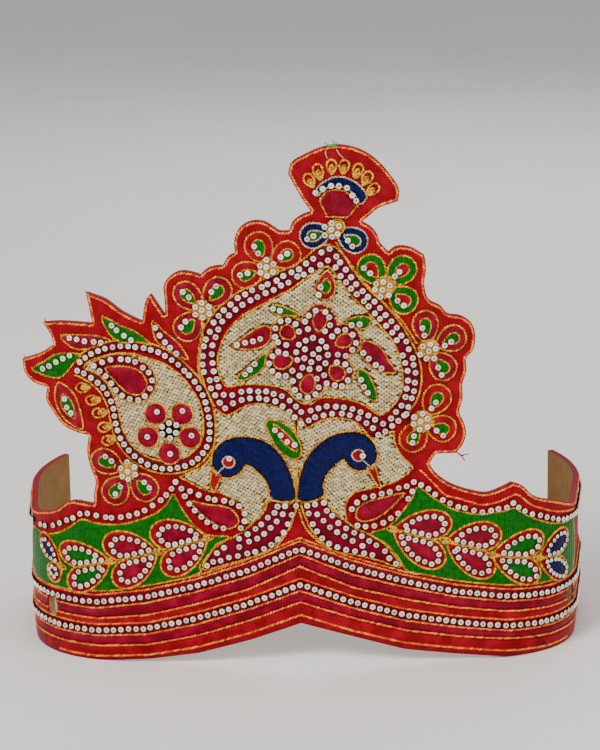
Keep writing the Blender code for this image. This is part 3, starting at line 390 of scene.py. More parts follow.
# Loops of gold thread: the point that each is tied down at, then its far end.
FAN_LOOPS = (
    ((7.6, 187.6), (4.4, 193.0)), ((10.2, 190.2), (8.4, 196.8)), ((14.2, 192.4), (14.2, 198.4)),
    ((18.2, 192.4), (19.4, 198.2)), ((22.8, 190.6), (24.8, 196.6)), ((25.6, 188.2), (28.8, 193.4)),
    ((27.0, 184.4), (31.6, 188.6)))
SIDE_LOOPS = (
    ((-79, 110.2), (-85.4, 109.4)), ((-75, 105.7), (-81.4, 104.7)), ((-72.6, 101), (-79, 99.6)),
    ((-70.8, 95.6), (-77, 94)), ((-69.6, 90.6), (-75.6, 88.6)))
# Petal pairs round the band: the hub, then the far end and the width of the upper and lower petal.
BAND_PAIRS = {
    "petal_pair_1": ((-95.4, 36.8), ((-106.7, 47.2, 8.2), (-101.6, 30.4, 7.8))),
    "petal_pair_2": ((-74.4, 40.8), ((-95.2, 43.7, 10.6), (-91.0, 28.8, 10.4))),
    "petal_pair_3": ((-55.6, 45.4), ((-76.4, 48.6, 12.0), (-72.2, 31.9, 11.6))),
    "petal_pair_4": ((-36.0, 51.4), ((-57.6, 53.2, 12.4), (-52.8, 37.3, 11.6))),
    "petal_pair_5": ((36.3, 54.4), ((58.2, 56.6, 12.0), (54.9, 39.8, 12.0))),
    "petal_pair_6": ((56.6, 49.0), ((77.4, 50.8, 12.0), (74.3, 34.8, 11.6))),
    "petal_pair_7": ((74.6, 42.4), ((94.9, 47.2, 11.4), (93.0, 30.8, 10.6))),
    "petal_pair_8": ((93.4, 38.8), ((109.6, 45.8, 9.8), (109.0, 28.6, 9.4)))}
# Flower hubs of gold thread: s, z, radius.
GOLD_HUBS = (
    (16, 172.9, 2.8), (-8, 156.8, 2.3), (-32.2, 141.1, 2.3), (35.2, 151.3, 2.3), (49.9, 125.4, 2.3),
    (46.8, 98.6, 2.3))
CREST_CORE = ((-9, 97), (-5.4, 94.6), (-1.6, 90.4), (-0.4, 86.8), (-3, 87.8), (-6.6, 91.6))
EYES = ((-26.4, 82.2), (22.7, 84.5))
TAIL_GROUNDS = (
    ((-37.5, 39), (-33, 47.6), (-30, 50), (-22, 54), (-13.4, 62.6), (-11.4, 66.4), (-1.4, 66.6), (-2.4, 60),
     (-5.4, 53), (-10.4, 47.6), (-18, 44.2), (-28, 41)),
    ((1, 66.6), (9, 67.6), (13, 63), (20, 56.4), (27, 52.4), (33, 48), (38.4, 39.4), (30, 42.2), (22, 44.6),
     (14, 46), (8, 50.4), (3.6, 57)))


# Heights over the middle of the card, in millimetres.
CLOTH = 1.2
PAD = 0.95
THIN = 0.35
ON_GROUND = 1.7
STONE_SIZE = 2.4
STONE_PITCH = 2.9
PAD_PITCH = 1.4
WIDE_PITCH = 3.0
WELD = 0.02
# Thickness of the couched gold: the band's cords and edges, and the lines round motifs.
CORD_THICK = 0.85
LINE_THICK = 0.8


def smooth_place(s, z):
    """Foot, along and outward directions of the bent sheet at arrays of pattern points, in millimetres."""
    s = np.asarray(s, float)
    z = np.asarray(z, float)
    flap = (s < -FLAP_AT) & (z > FLAP_FROM)
    d = np.abs(s)
    sign = np.where(s < 0, -1.0, 1.0)
    x = np.zeros_like(d)
    y = np.zeros_like(d)
    heading = np.zeros_like(d)
    left = d.copy()
    corner = CORNER_R * CORNER_TURN
    pieces = [(BOW_R, np.full_like(d, BOW_HALF)),
              (CORNER_R, np.where(flap, FLAP_AT - BOW_HALF, corner)),
              (None, np.where(flap, 0.0, SIDE_RUN)),
              (BACK_R, np.where(flap, 0.0, ENDLESS)),
              (FLAP_R, np.full_like(d, ENDLESS))]
    for radius, limit in pieces:
        run = np.clip(np.minimum(left, limit), 0.0, None)
        if radius is None:
            x = x + run * np.cos(heading)
            y = y + run * np.sin(heading)
        else:
            turn = run / radius
            x = x + radius * (np.sin(heading + turn) - np.sin(heading))
            y = y + radius * (np.cos(heading) - np.cos(heading + turn))
            heading = heading + turn
        left = left - run
    along = np.stack([np.cos(heading), sign * np.sin(heading), np.zeros_like(d)], -1)
    outward = np.stack([sign * np.sin(heading), -np.cos(heading), np.zeros_like(d)], -1)
    foot = np.stack([sign * x, y - BACK_OF_CENTRE / MM, z], -1)
    return foot, along, outward


def bend_all(points):
    """Array of (s, z, offset) to metres in the row frame."""
    points = np.asarray(points, float)
    foot, _, outward = smooth_place(points[:, 0], points[:, 1])
    return (foot + outward * points[:, 2:3]) * MM


def new_object(name, verts, faces, mats, replaces=(), smooth=True, face_mats=None,
               tint=None):
    """One mesh riding on the crown, with a look for each face and a tint for each point."""
    mesh = bpy.data.meshes.new(name)
    mesh.from_pydata([tuple(v) for v in verts], [], [tuple(f) for f in faces])
    for mat in mats:
        mesh.materials.append(mat)
    if face_mats is not None:
        mesh.polygons.foreach_set("material_index", np.asarray(face_mats, dtype=np.int32))
    if smooth:
        mesh.polygons.foreach_set("use_smooth", np.ones(len(mesh.polygons), dtype=bool))
    if tint is not None:
        layer = mesh.attributes.new("tint", "FLOAT", "POINT")
        layer.data.foreach_set("value", np.asarray(tint, dtype=np.float32))
    mesh.update()
    obj = bpy.data.objects.new(name, mesh)
    bpy.context.scene.collection.objects.link(obj)
    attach(obj, "root")
    if replaces:
        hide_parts(*replaces)
    return obj


def curve_round(outline, closed=True, step=0.8):
    """Points at an even step along a smooth curve through given points."""
    p = np.asarray(outline, float)
    n = len(p)
    out = []
    spans = n if closed else n - 1
    for i in range(spans):
        if closed:
            a, b, c, d = p[(i - 1) % n], p[i], p[(i + 1) % n], p[(i + 2) % n]
        else:
            a, b, c, d = p[max(i - 1, 0)], p[i], p[i + 1], p[min(i + 2, n - 1)]
        for t in np.linspace(0.0, 1.0, 12, endpoint=False):
            out.append(0.5 * (2 * b + (c - a) * t + (2 * a - 5 * b + 4 * c - d) * t * t
                              + (3 * b - a - 3 * c + d) * t ** 3))
    out.append(out[0] if closed else p[-1])
    return resample(np.array(out), step, closed)


def resample(line, step, closed=False):
    """Points at an even step along straight runs."""
    seg = np.linalg.norm(np.diff(line, axis=0), axis=1)
    dist = np.concatenate([[0.0], np.cumsum(seg)])
    count = max(2, int(round(dist[-1] / step)))
    at = np.linspace(0.0, dist[-1], count, endpoint=not closed)
    return np.stack([np.interp(at, dist, line[:, k]) for k in range(2)], -1)


def resample_round(outline, step):
    """Points at an even step round a closed outline."""
    outline = np.asarray(outline, float)
    return resample(np.vstack([outline, outline[:1]]), step, True)


def sideways(path):
    """Unit directions to the left of a path, at each of its points."""
    way = np.gradient(path, axis=0)
    way /= np.linalg.norm(way, axis=1)[:, None]
    return np.column_stack([-way[:, 1], way[:, 0]])


def edge_distance(points, outline):
    """Distance of each point to a closed outline."""
    best = np.full(len(points), ENDLESS)
    for a, ab in zip(outline, np.roll(outline, -1, 0) - outline):
        t = np.clip(((points - a) @ ab) / max(ab @ ab, 1e-9), 0.0, 1.0)
        best = np.minimum(best, np.linalg.norm(points - (a + t[:, None] * ab), axis=1))
    return best


def slice_up(bm, axis, places):
    """Cuts a flat mesh across one axis at each place."""
    normal = (1.0, 0.0, 0.0) if axis == 0 else (0.0, 1.0, 0.0)
    for at in places:
        place = (at, 0.0, 0.0) if axis == 0 else (0.0, at, 0.0)
        bmesh.ops.bisect_plane(bm, geom=bm.verts[:] + bm.edges[:] + bm.faces[:], plane_co=place,
                               plane_no=normal, dist=WELD)


def pad_mesh(outline, low, height, round_over, pitch):
    """A cushion over an outline: crowned front and straight sides, open at the back."""
    bm = bmesh.new()
    bm.faces.new([bm.verts.new((s, z, 0.0)) for s, z in outline])
    lo, hi = outline.min(0), outline.max(0)
    for axis in (0, 1):
        slice_up(bm, axis, np.arange(math.ceil(lo[axis] / pitch) * pitch, hi[axis], pitch))
    bmesh.ops.triangulate(bm, faces=[f for f in bm.faces if len(f.verts) > 4])
    bm.verts.index_update()
    pts = np.array([v.co[:2] for v in bm.verts])
    inward = np.clip(edge_distance(pts, outline) / round_over, 0.0, 1.0)
    rise = np.sqrt(1.0 - (1.0 - inward) ** 2)
    faces = [[v.index for v in f.verts] for f in bm.faces]
    if faces and bm.faces[:][0].normal.z < 0.0:
        faces = [f[::-1] for f in faces]
    rim = [(e.verts[0].index, e.verts[1].index) for e in bm.edges if len(e.link_faces) == 1]
    bm.free()
    top = np.column_stack([pts, low + height * (0.35 + 0.65 * rise)])
    foot = np.column_stack([pts, np.full(len(pts), low)])
    count = len(pts)
    walls = [[a, b, b + count, a + count] for a, b in rim]
    return np.vstack([top, foot]), faces + walls


class Batch:
    """Collects pieces of one look into one mesh."""

    def __init__(self):
        self.verts, self.faces, self.mats, self.tint, self.count = [], [], [], [], 0

    def add(self, verts, faces, mat=0, tint=0.5):
        self.verts.append(np.asarray(verts, float))
        self.faces += [[i + self.count for i in f] for f in faces]
        self.mats += [mat] * len(faces)
        self.tint += [tint] * len(verts)
        self.count += len(verts)

    def pad(self, outline, low, height, round_over, mat=0, pitch=PAD_PITCH):
        verts, faces = pad_mesh(outline, low, height, round_over, pitch)
        self.add(bend_all(verts), faces, mat)

    def strip(self, lower, upper, low, height, mat=0, step=2.5, across=5):
        """A crowned satin stripe between two lines of the band, as a regular grid."""
        start, stop = lower[0][0], lower[-1][0]
        count = max(3, int((stop - start) / step))
        spots = []
        for s in np.linspace(start, stop, count):
            bottom, top = line_at(lower, s), line_at(upper, s)
            spots.append((s, bottom, low))
            for k in range(across):
                share = k / (across - 1)
                rise = math.sqrt(max(0.0, 1.0 - (2.0 * share - 1.0) ** 4))
                spots.append((s, bottom + (top - bottom) * share, low + height * (0.3 + 0.7 * rise)))
            spots.append((s, top, low))
        row = across + 2
        faces = [(i * row + k, (i + 1) * row + k, (i + 1) * row + k + 1, i * row + k + 1)
                 for i in range(count - 1) for k in range(row - 1)]
        self.add(bend_all(spots), faces, mat)

    def build(self, name, mats, replaces=(), slot="red_cloth", smooth=True):
        """One mesh of everything added so far, without points that no face uses."""
        used = np.unique(np.concatenate([np.asarray(face) for face in self.faces]))
        place = np.zeros(self.count, dtype=int)
        place[used] = np.arange(len(used))
        faces = [[int(place[i]) for i in face] for face in self.faces]
        tint = np.asarray(self.tint)[used]
        return new_object(name, np.vstack(self.verts)[used], faces, mats, replaces, smooth, self.mats,
                          tint)


def stamp(batch, base, faces, places, mat=0):
    """Puts a small base shape (across, up, out; millimetres) at many places:
    s, z, offset, angle, length, width, height, tint."""
    places = np.asarray(places, float)
    foot, along, outward = smooth_place(places[:, 0], places[:, 1])
    up = np.zeros_like(along)
    up[:, 2] = 1.0
    c, n = np.cos(places[:, 3])[:, None], np.sin(places[:, 3])[:, None]
    first = along * c + up * n
    second = -along * n + up * c
    spot = foot + outward * places[:, 2:3]
    base = np.asarray(base, float)
    local = base[None, :, :] * places[:, None, 4:7]
    world = (spot[:, None, :] + local[..., 0:1] * first[:, None, :] + local[..., 1:2] * second[:, None, :]
             + local[..., 2:3] * outward[:, None, :]) * MM
    per = len(base)
    batch.verts.append(world.reshape(-1, 3))
    for k in range(len(places)):
        start = batch.count + k * per
        batch.faces += [[i + start for i in f] for f in faces]
    batch.mats += (list(mat) if isinstance(mat, tuple) else [mat] * len(faces)) * len(places)
    batch.tint += list(np.repeat(places[:, 7], per))
    batch.count += per * len(places)


def grain_shape(sides=6):
    """A plump stitch: unit long, wide and high, lying along its first axis."""
    verts = [(-0.5, 0.0, 0.05)]
    for x, r in ((-0.38, 0.8), (0.0, 1.0), (0.38, 0.8)):
        for k in range(sides):
            a = math.tau * k / sides
            verts.append((x, 0.5 * r * math.cos(a), 0.5 * r * math.sin(a)))
    verts.append((0.5, 0.0, 0.05))
    faces = []
    for k in range(sides):
        j = (k + 1) % sides
        faces.append((0, 1 + j, 1 + k))
        for ring in (0, 1):
            a = 1 + ring * sides
            faces.append((a + k, a + j, a + sides + j, a + sides + k))
        last = 1 + 2 * sides
        faces.append((last + k, last + j, 1 + 3 * sides))
    return verts, faces


# Rings of a stone and its cup, radius and height as shares of the stone's size; the cup's come first.
STONE_RINGS = (
    (0.40, 0.0), (0.52, 0.12), (0.53, 0.28), (0.47, 0.34), (0.48, 0.37), (0.36, 0.56), (0.21, 0.50))
CUP_RINGS = 3


def stone_shape(sides=8):
    """A cut stone with a table, two rows of facets, and its cup; unit girdle."""
    verts = []
    for r, h in STONE_RINGS:
        for k in range(sides):
            a = math.tau * k / sides
            verts.append((r * math.cos(a), r * math.sin(a), h))
    cup, gem = [], []
    for ring in range(len(STONE_RINGS) - 1):
        for k in range(sides):
            j = (k + 1) % sides
            a, b = ring * sides, (ring + 1) * sides
            quad = (a + k, a + j, b + j, b + k)
            if ring < CUP_RINGS:
                cup.append(quad)
            elif ring < len(STONE_RINGS) - 2:
                gem.append(quad)
            else:
                gem.append((a + k, a + j, b + k))
                gem.append((a + j, b + j, b + k))
    table = [tuple((len(STONE_RINGS) - 1) * sides + k for k in range(sides))]
    return verts, cup, gem, table


GRAIN, GRAIN_FACES = grain_shape()
STONE, CUP_FACES, GEM_FACES, TABLE_FACES = stone_shape()
STONE_FACES = CUP_FACES + GEM_FACES + TABLE_FACES
STONE_LOOKS = (0,) * len(CUP_FACES) + (1,) * len(GEM_FACES) + (2,) * len(TABLE_FACES)


def couch(batch, line, offset, width=0.8, pitch=1.2, lean=0.42, mat=0, closed=False):
    """Gold cord: overlapping leaning grains along a line of pattern points."""
    pts = resample_round(line, pitch) if closed else resample(np.asarray(line, float), pitch)
    nxt = np.roll(pts, -1, 0) if closed else np.vstack([pts[1:], 2 * pts[-1:] - pts[-2:-1]])
    prv = np.roll(pts, 1, 0) if closed else np.vstack([2 * pts[:1] - pts[1:2], pts[:-1]])
    way = nxt - prv
    count = len(pts)
    angle = np.arctan2(way[:, 1], way[:, 0]) + lean + RNG.normal(0.0, 0.07, count)
    places = np.column_stack([pts + RNG.normal(0.0, 0.05, pts.shape), np.full(count, offset), angle,
                              np.full(count, pitch * 1.3), width * RNG.uniform(0.88, 1.1, count),
                              width * RNG.uniform(0.75, 0.95, count), RNG.uniform(0.0, 1.0, count)])
    stamp(batch, GRAIN, GRAIN_FACES, places, mat)


def set_stones(batch, spots, offset, size=STONE_SIZE):
    """Stones at given places, each a little off its place, turned and sized by chance."""
    spots = np.asarray(spots, float)
    count = len(spots)
    off = RNG.normal(0.0, 0.09, spots.shape)
    height = offset + RNG.normal(0.0, 0.05, count)
    turn = RNG.uniform(0.0, math.tau, count)
    sizes = size * RNG.uniform(0.96, 1.04, count)
    tint = RNG.uniform(0.25, 0.9, count)
    stamp(batch, STONE, STONE_FACES, np.column_stack([spots + off, height, turn, sizes, sizes, sizes, tint]),
          STONE_LOOKS)


def stones_along(batch, line, offset, smooth=True):
    """Stones at an even step along a line."""
    pts = curve_round(line, False, STONE_PITCH) if smooth else resample(np.asarray(line, float), STONE_PITCH)
    set_stones(batch, pts, offset)


# A stone's looks: cup with painted shadow, rim with painted highlight, table with painted reflection.
def stone_looks(mats):
    return [mats["cup"], mats["gem"], mats["table"]]


def ramp(nodes, links, source, stops):
    node = nodes.new("ShaderNodeValToRGB")
    while len(node.color_ramp.elements) < len(stops):
        node.color_ramp.elements.new(0.5)
    for element, (at, colour) in zip(node.color_ramp.elements, stops):
        element.position = at
        element.color = (*colour, 1.0)
    links.new(source, node.inputs["Fac"])
    return node.outputs["Color"]


def multiply_add(nodes, links, first, factor, second):
    node = nodes.new("ShaderNodeMath")
    node.operation = "MULTIPLY_ADD"
    node.inputs[1].default_value = factor
    links.new(first, node.inputs[0])
    links.new(second, node.inputs[2])
    return node.outputs["Value"]


def finish(name, colours, roughness, metallic=0.0, grain=900.0, bump=0.3, wave=0.0, turn=0.0, sheen=0.0,
           coat=0.0, by_tint=False, spread_noise=220.0, gloss=0.1):
    """Procedural finish from 0-255 colours, dark to light: colour by noise, or by each stitch's own tint;
    fine noise and thread ribs as bump."""
    mat = bpy.data.materials.new(name)
    mat.use_nodes = True
    nodes, links = mat.node_tree.nodes, mat.node_tree.links
    shader = nodes["Principled BSDF"]
    shader.inputs["Metallic"].default_value = metallic
    shader.inputs["Sheen Weight"].default_value = sheen
    shader.inputs["Specular IOR Level"].default_value = gloss
    shader.inputs["Coat Weight"].default_value = coat
    shader.inputs["Coat Roughness"].default_value = 0.08
    coords = nodes.new("ShaderNodeTexCoord")
    place = nodes.new("ShaderNodeMapping")
    place.inputs["Rotation"].default_value = (0.0, turn, 0.0)
    links.new(coords.outputs["Object"], place.inputs["Vector"])
    broad = nodes.new("ShaderNodeTexNoise")
    broad.inputs["Scale"].default_value = spread_noise
    broad.inputs["Detail"].default_value = 4.0
    links.new(place.outputs["Vector"], broad.inputs["Vector"])
    source = broad.outputs["Fac"]
    if by_tint:
        tint = nodes.new("ShaderNodeAttribute")
        tint.attribute_name = "tint"
        source = tint.outputs["Fac"]
    low, span = (0.0, 1.0) if by_tint else (0.25, 0.5)
    steps = [(low + span * i / (len(colours) - 1), colour(*c)) for i, c in enumerate(colours)]
    rough = nodes.new("ShaderNodeMapRange")
    rough.inputs["To Min"].default_value = roughness * 0.8
    rough.inputs["To Max"].default_value = min(1.0, roughness * 1.2)
    links.new(broad.outputs["Fac"], rough.inputs["Value"])
    links.new(rough.outputs["Result"], shader.inputs["Roughness"])
    fine = nodes.new("ShaderNodeTexNoise")
    fine.inputs["Scale"].default_value = grain
    links.new(place.outputs["Vector"], fine.inputs["Vector"])
    height = fine.outputs["Fac"]
    if wave:
        ribs = nodes.new("ShaderNodeTexWave")
        ribs.wave_type = "BANDS"
        ribs.bands_direction = "X"
        ribs.inputs["Scale"].default_value = wave
        ribs.inputs["Distortion"].default_value = 1.6
        ribs.inputs["Detail"].default_value = 1.0
        ribs.inputs["Detail Scale"].default_value = 2.0
        links.new(place.outputs["Vector"], ribs.inputs["Vector"])
        height = multiply_add(nodes, links, fine.outputs["Fac"], 0.5, ribs.outputs["Fac"])
        source = multiply_add(nodes, links, ribs.outputs["Fac"], 0.3, broad.outputs["Fac"])
        steps = [(at + 0.15, c) for at, c in steps]
    links.new(ramp(nodes, links, source, steps), shader.inputs["Base Color"])
    relief = nodes.new("ShaderNodeBump")
    relief.inputs["Strength"].default_value = bump
    relief.inputs["Distance"].default_value = 0.00025
    links.new(height, relief.inputs["Height"])
    links.new(relief.outputs["Normal"], shader.inputs["Normal"])
    return mat


def colour(red, green, blue):
    """Linear colour from 0-255 values."""
    return tuple((c / 255.0) ** 2.2 for c in (red, green, blue))


def make_materials():
    """Finishes by short name; thread, cord and stones take their shade from each piece's tint."""
    thread = {"by_tint": True}
    cord = {"by_tint": True, "bump": 0.35, "grain": 2400.0, "gloss": 0.5}
    return {
        "cloth": finish("red_cloth_weave", ((108, 0, 16), (134, 0, 22), (156, 0, 34)), 0.7, wave=520.0,
                        sheen=0.05),
        "lining": finish("kraft_card", ((154, 116, 72), (166, 128, 82), (174, 137, 91)), 0.9, bump=0.35,
                         spread_noise=160.0, grain=1400.0),
        "card": finish("card_edge", ((134, 100, 62), (178, 144, 98)), 0.9, bump=0.5),
        "red": finish("red_satin_thread", ((100, 0, 14), (134, 0, 22), (170, 0, 36)), 0.42, wave=430.0,
                      turn=0.5, bump=0.5),
        "maroon": finish("maroon_satin_thread", ((84, 0, 22), (112, 0, 30), (136, 0, 40)), 0.5, wave=430.0,
                         turn=-0.5, bump=0.5),
        "crimson": finish("crimson_satin_thread", ((92, 0, 20), (120, 0, 34), (166, 0, 50)), 0.38, wave=430.0,
                          turn=0.9, bump=0.55),
        "green": finish("green_satin_thread", ((0, 66, 2), (0, 88, 4), (2, 112, 10)), 0.38, wave=380.0,
                        bump=0.6, spread_noise=700.0),
        "blue": finish("blue_satin_thread", ((1, 3, 28), (1, 6, 52), (14, 30, 108)), 0.34, wave=430.0,
                       turn=0.8, bump=0.6, spread_noise=900.0),
        "black": finish("black_thread", ((10, 8, 12), (28, 22, 30)), 0.5, **thread),
        "gold": finish("gold_cord_metal", ((150, 84, 4), (208, 138, 8), (242, 186, 40)), 0.36, 0.4, **cord),
        "orange": finish("orange_gold_cord", ((186, 62, 10), (240, 108, 24), (252, 160, 70)), 0.4, 0.25,
                         **cord),
        "cream": finish("cream_zari_stitch", ((112, 88, 50), (168, 146, 100), (216, 200, 154)), 0.4, 0.15,
                        by_tint=True, grain=2600.0, gloss=0.5),
        # The pad under the cream stitches is dark brown painted shade that shows in the gaps between
        # stitches.
        "ground": finish("cream_ground_painted_gap_shade", ((44, 26, 16), (84, 60, 36)), 0.8),
        "mint": finish("loose_green_thread", ((14, 110, 34), (96, 206, 104)), 0.5, **thread),
        "pale": finish("pale_thread", ((168, 136, 92), (226, 202, 162)), 0.5, **thread),
        # Stones: the rim colours are the glass's own pale cream lifted towards white as painted highlight;
        # the table's dark colours are painted reflection in the stone's centre.
        "gem": finish("stone_glass_and_painted_highlight", ((196, 176, 152), (240, 226, 206), (255, 249, 238)), 0.12, by_tint=True,
                      coat=0.5, bump=0.02, gloss=0.6),
        "table": finish("stone_table_painted_reflection", ((34, 28, 22), (92, 80, 64), (176, 162, 142)), 0.05,
                        by_tint=True, coat=0.8, bump=0.02, gloss=0.8),
        # The cup's colours are its dark metal darkened further as painted shadow round each stone.
        "cup": finish("stone_cup_metal_and_painted_shadow", ((34, 16, 14), (74, 48, 38)), 0.35, 0.7, **thread),
    }


def petal(hub, centre, long, wide, point=0.5):
    """A teardrop petal whose point is at its hub."""
    away = np.array(centre, float) - np.array(hub, float)
    away /= max(np.linalg.norm(away), 1e-6)
    across = np.array([-away[1], away[0]])
    turn = np.linspace(0.0, math.tau, 40, endpoint=False)
    reach = np.cos(turn) * long / 2.0
    width = np.sin(turn) * np.abs(np.cos(turn / 2.0)) ** point
    width *= wide / 2.0 / np.abs(width).max()
    return np.array(centre, float) + reach[:, None] * away + width[:, None] * across


def disc(centre, radius, sides=18):
    turn = np.linspace(0.0, math.tau, sides, endpoint=False)
    return np.column_stack([centre[0] + radius * np.cos(turn), centre[1] + radius * np.sin(turn)])


def inset(outline, amount):
    """The outline moved inwards by an amount, away from its edge."""
    nxt, prv = np.roll(outline, -1, 0), np.roll(outline, 1, 0)
    way = nxt - prv
    way /= np.maximum(np.linalg.norm(way, axis=1), 1e-6)[:, None]
    area = 0.5 * np.sum(outline[:, 0] * nxt[:, 1] - nxt[:, 0] * outline[:, 1])
    side = np.column_stack([-way[:, 1], way[:, 0]]) * (1.0 if area > 0.0 else -1.0)
    return outline + side * amount


def inside(points, outline):
    """Which points lie within an outline."""
    x, y = points[:, 0], points[:, 1]
    hit = np.zeros(len(points), bool)
    for (ax, ay), (bx, by) in zip(outline, np.roll(outline, -1, 0)):
        if ay != by:
            crosses = (ay > y) != (by > y)
            hit ^= crosses & (x < (bx - ax) * (y - ay) / (by - ay) + ax)
    return hit


def stitch_fill(batch, outline, offset, angle, holes=(), long=2.0, wide=1.25, rows=0.8, margin=0.6, mat=0):
    """Brick-laid stitches over an outline, clear of its edge and of the holes."""
    lo, hi = outline.min(0) - 2.0, outline.max(0) + 2.0
    centre = (lo + hi) / 2.0
    reach = np.linalg.norm(hi - lo) / 2.0
    spots = []
    for row, v in enumerate(np.arange(-reach, reach, rows)):
        for u in np.arange(-reach, reach, long) + (long / 2.0 if row % 2 else 0.0):
            spots.append((u, v))
    spots = np.array(spots)
    c, n = math.cos(angle), math.sin(angle)
    pts = centre + np.column_stack([spots[:, 0] * c - spots[:, 1] * n, spots[:, 0] * n + spots[:, 1] * c])
    pts += RNG.normal(0.0, 0.09, pts.shape)
    keep = inside(pts, outline) & (edge_distance(pts, outline) > margin)
    for hole in holes:
        keep &= ~(inside(pts, hole) | (edge_distance(pts, hole) < margin))
    pts = pts[keep]
    count = len(pts)
    places = np.column_stack([pts, np.full(count, offset), angle + RNG.normal(0.0, 0.08, count),
                              long * RNG.uniform(0.84, 0.94, count), wide * RNG.uniform(0.85, 1.05, count),
                              wide * RNG.uniform(0.42, 0.55, count), RNG.uniform(0.45, 1.0, count)])
    stamp(batch, GRAIN, GRAIN_FACES, places, mat)


def near_faces(bm, s, z, wide, high):
    """Faces whose middle is within half a box of a place."""
    middles = ((f, f.calc_center_median()) for f in bm.faces)
    return [f for f, at in middles if abs(at.x - s) < wide and abs(at.y - z) < high]


def open_hole(bm, s, z):
    """Cuts an oval tie hole in the flat panel."""
    half_wide, half_high = HOLE_WIDE / 2.0, HOLE_HIGH / 2.0
    for axis, middle, half in ((0, s, half_wide), (1, z, half_high)):
        for share in (-1.0, -0.5, 0.0, 0.5, 1.0):
            place, normal = [0.0, 0.0, 0.0], [0.0, 0.0, 0.0]
            place[axis], normal[axis] = middle + half * share, 1.0
            near = near_faces(bm, s, z, *ROUND_HOLE)
            parts = list({v for f in near for v in f.verts}) + list({e for f in near for e in f.edges}) + near
            bmesh.ops.bisect_plane(bm, geom=parts, plane_co=place, plane_no=normal, dist=0.001)
    bmesh.ops.delete(bm, geom=near_faces(bm, s, z, half_wide, half_high), context="FACES")
    for v in bm.verts:
        across, tall = (v.co.x - s) / half_wide, (v.co.y - z) / half_high
        if max(abs(across), abs(tall)) < 1.02:
            reach = math.hypot(across, tall)
            v.co.x, v.co.y = s + half_wide * across / reach, z + half_high * tall / reach


def add_panel(mats):
    """The covered card shell: outline cut fine enough to bend, both faces, rolled rim and tie holes."""
    bm = bmesh.new()
    edge = np.array(crown_outline(), float)
    bm.faces.new([bm.verts.new((s, z, 0.0)) for s, z in edge])
    slice_up(bm, 0, np.arange(2.0 - HALF_LENGTH, HALF_LENGTH - 1.0, 3.0))
    slice_up(bm, 1, np.arange(4.0, 204.0, 5.0))
    for s, z in HOLES.values():
        open_hole(bm, s, z)
    bmesh.ops.triangulate(bm, faces=[f for f in bm.faces if len(f.verts) > 4])
    bm.verts.index_update()
    pts = np.array([v.co[:2] for v in bm.verts])
    faces = [[v.index for v in (f.verts if f.normal.z > 0.0 else reversed(f.verts))] for f in bm.faces]
    rim = [(e.verts[0].index, e.verts[1].index, e.link_faces[0]) for e in bm.edges if len(e.link_faces) == 1]
    walls = []
    for a, b, face in rim:
        order = [v.index for v in face.verts]
        forward = order[(order.index(a) + 1) % len(order)] == b
        walls.append((a, b) if forward == (face.normal.z > 0.0) else (b, a))
    bm.free()
    count = len(pts)
    layers = [np.column_stack([pts, np.full(count, off)]) for off in (CLOTH, -CLOTH)]
    all_faces = faces + [[i + count for i in reversed(f)] for f in faces]
    all_faces += [[b, a, a + count, b + count] for a, b in walls]
    at_hole = [any(math.hypot(pts[a][0] - s, pts[a][1] - z) < HOLE_HIGH for s, z in HOLES.values())
               for a, b in walls]
    looks = [0] * len(faces) + [1] * len(faces) + [2 if inner else 0 for inner in at_hole]
    new_object("cloth_panel", bend_all(np.vstack(layers)), all_faces,
               [mats["cloth"], mats["lining"], mats["card"]], ("crown_panel",), False, looks)


# The top cord is doubled over the V, and a thin thread runs over the lower stones.
TWIN_HALF = 45.0
TWIN_UP = 1.3
OVER_STONES = 2.2
STRIPE_GAP = 0.3


def run_outs(names):
    """The stretches of the band between its tie holes, for rows that meet them."""
    if not names & {"cord_4", "cord_5"}:
        return ((-ROW_END, ROW_END),)
    clear = HOLE_WIDE / 2.0 + 0.7
    left, right = HOLES["hole_left"][0], HOLES["hole_right"][0]
    return (-ROW_END, left - clear), (left + clear, right - clear), (right + clear, ROW_END)


def add_band(mats):
    """Satin stripes, couched cords and bead rows of the band."""
    stripes = Batch()
    for lower, upper, mat in (("edge", "cord_2", 0), ("cord_2", "cord_3", 1), ("cord_3", "stones_low", 2),
                              ("stones_low", "cord_4", 0), ("cord_4", "cord_5", 1), ("cord_5", "cord_6", 2)):
        for start, stop in run_outs({lower, upper}):
            bottom = [(s, z + STRIPE_GAP) for s, z in row_line(lower, start, stop)]
            top = [(s, z - STRIPE_GAP) for s, z in row_line(upper, start, stop)]
            stripes.strip(bottom, top, CLOTH, 0.35, mat)
    stripes.build("band_stripes", [mats["red"], mats["crimson"], mats["maroon"]])
    for name in ("cord_1", "cord_2", "cord_3", "cord_4", "cord_5", "cord_6"):
        cords = Batch()
        for start, stop in ((CORD_ENDS,) if name == "cord_1" else run_outs({name})):
            couch(cords, row_line(name, start, stop), CLOTH + 0.4, CORD_THICK)
        if name == "cord_6":
            twin = np.array(row_line(name, -TWIN_HALF, TWIN_HALF), float) + (0.0, TWIN_UP)
            couch(cords, twin, CLOTH + 0.4, LINE_THICK)
        cords.build(name + "_thread", [mats["orange"]], (name,), "gold_cord")
    for name in ("stones_low", "stones_mid"):
        row = Batch()
        stones_along(row, row_line(name), CLOTH + 0.35, smooth=False)
        row.build(name + "_row", stone_looks(mats), (name,), "stone_row", False)
    thin = Batch()
    couch(thin, np.array(row_line("stones_low"), float) + (0.0, OVER_STONES), CLOTH + 0.4, 0.7)
    top = resample(np.array(soften(TOP_EDGE)), 0.9)
    rim = np.vstack([[(-ROW_END, BAND_TOP - 1.0)], top - sideways(top) * 0.8, [(ROW_END, BAND_TOP - 1.0)]])
    couch(thin, rim, CLOTH + 0.2, CORD_THICK)
    couch(thin, curve_round(BAND_LINE_RIGHT, False), CLOTH + 0.3, CORD_THICK)
    thin.build("edge_gold_thread", [mats["orange"]], (), "gold_cord")


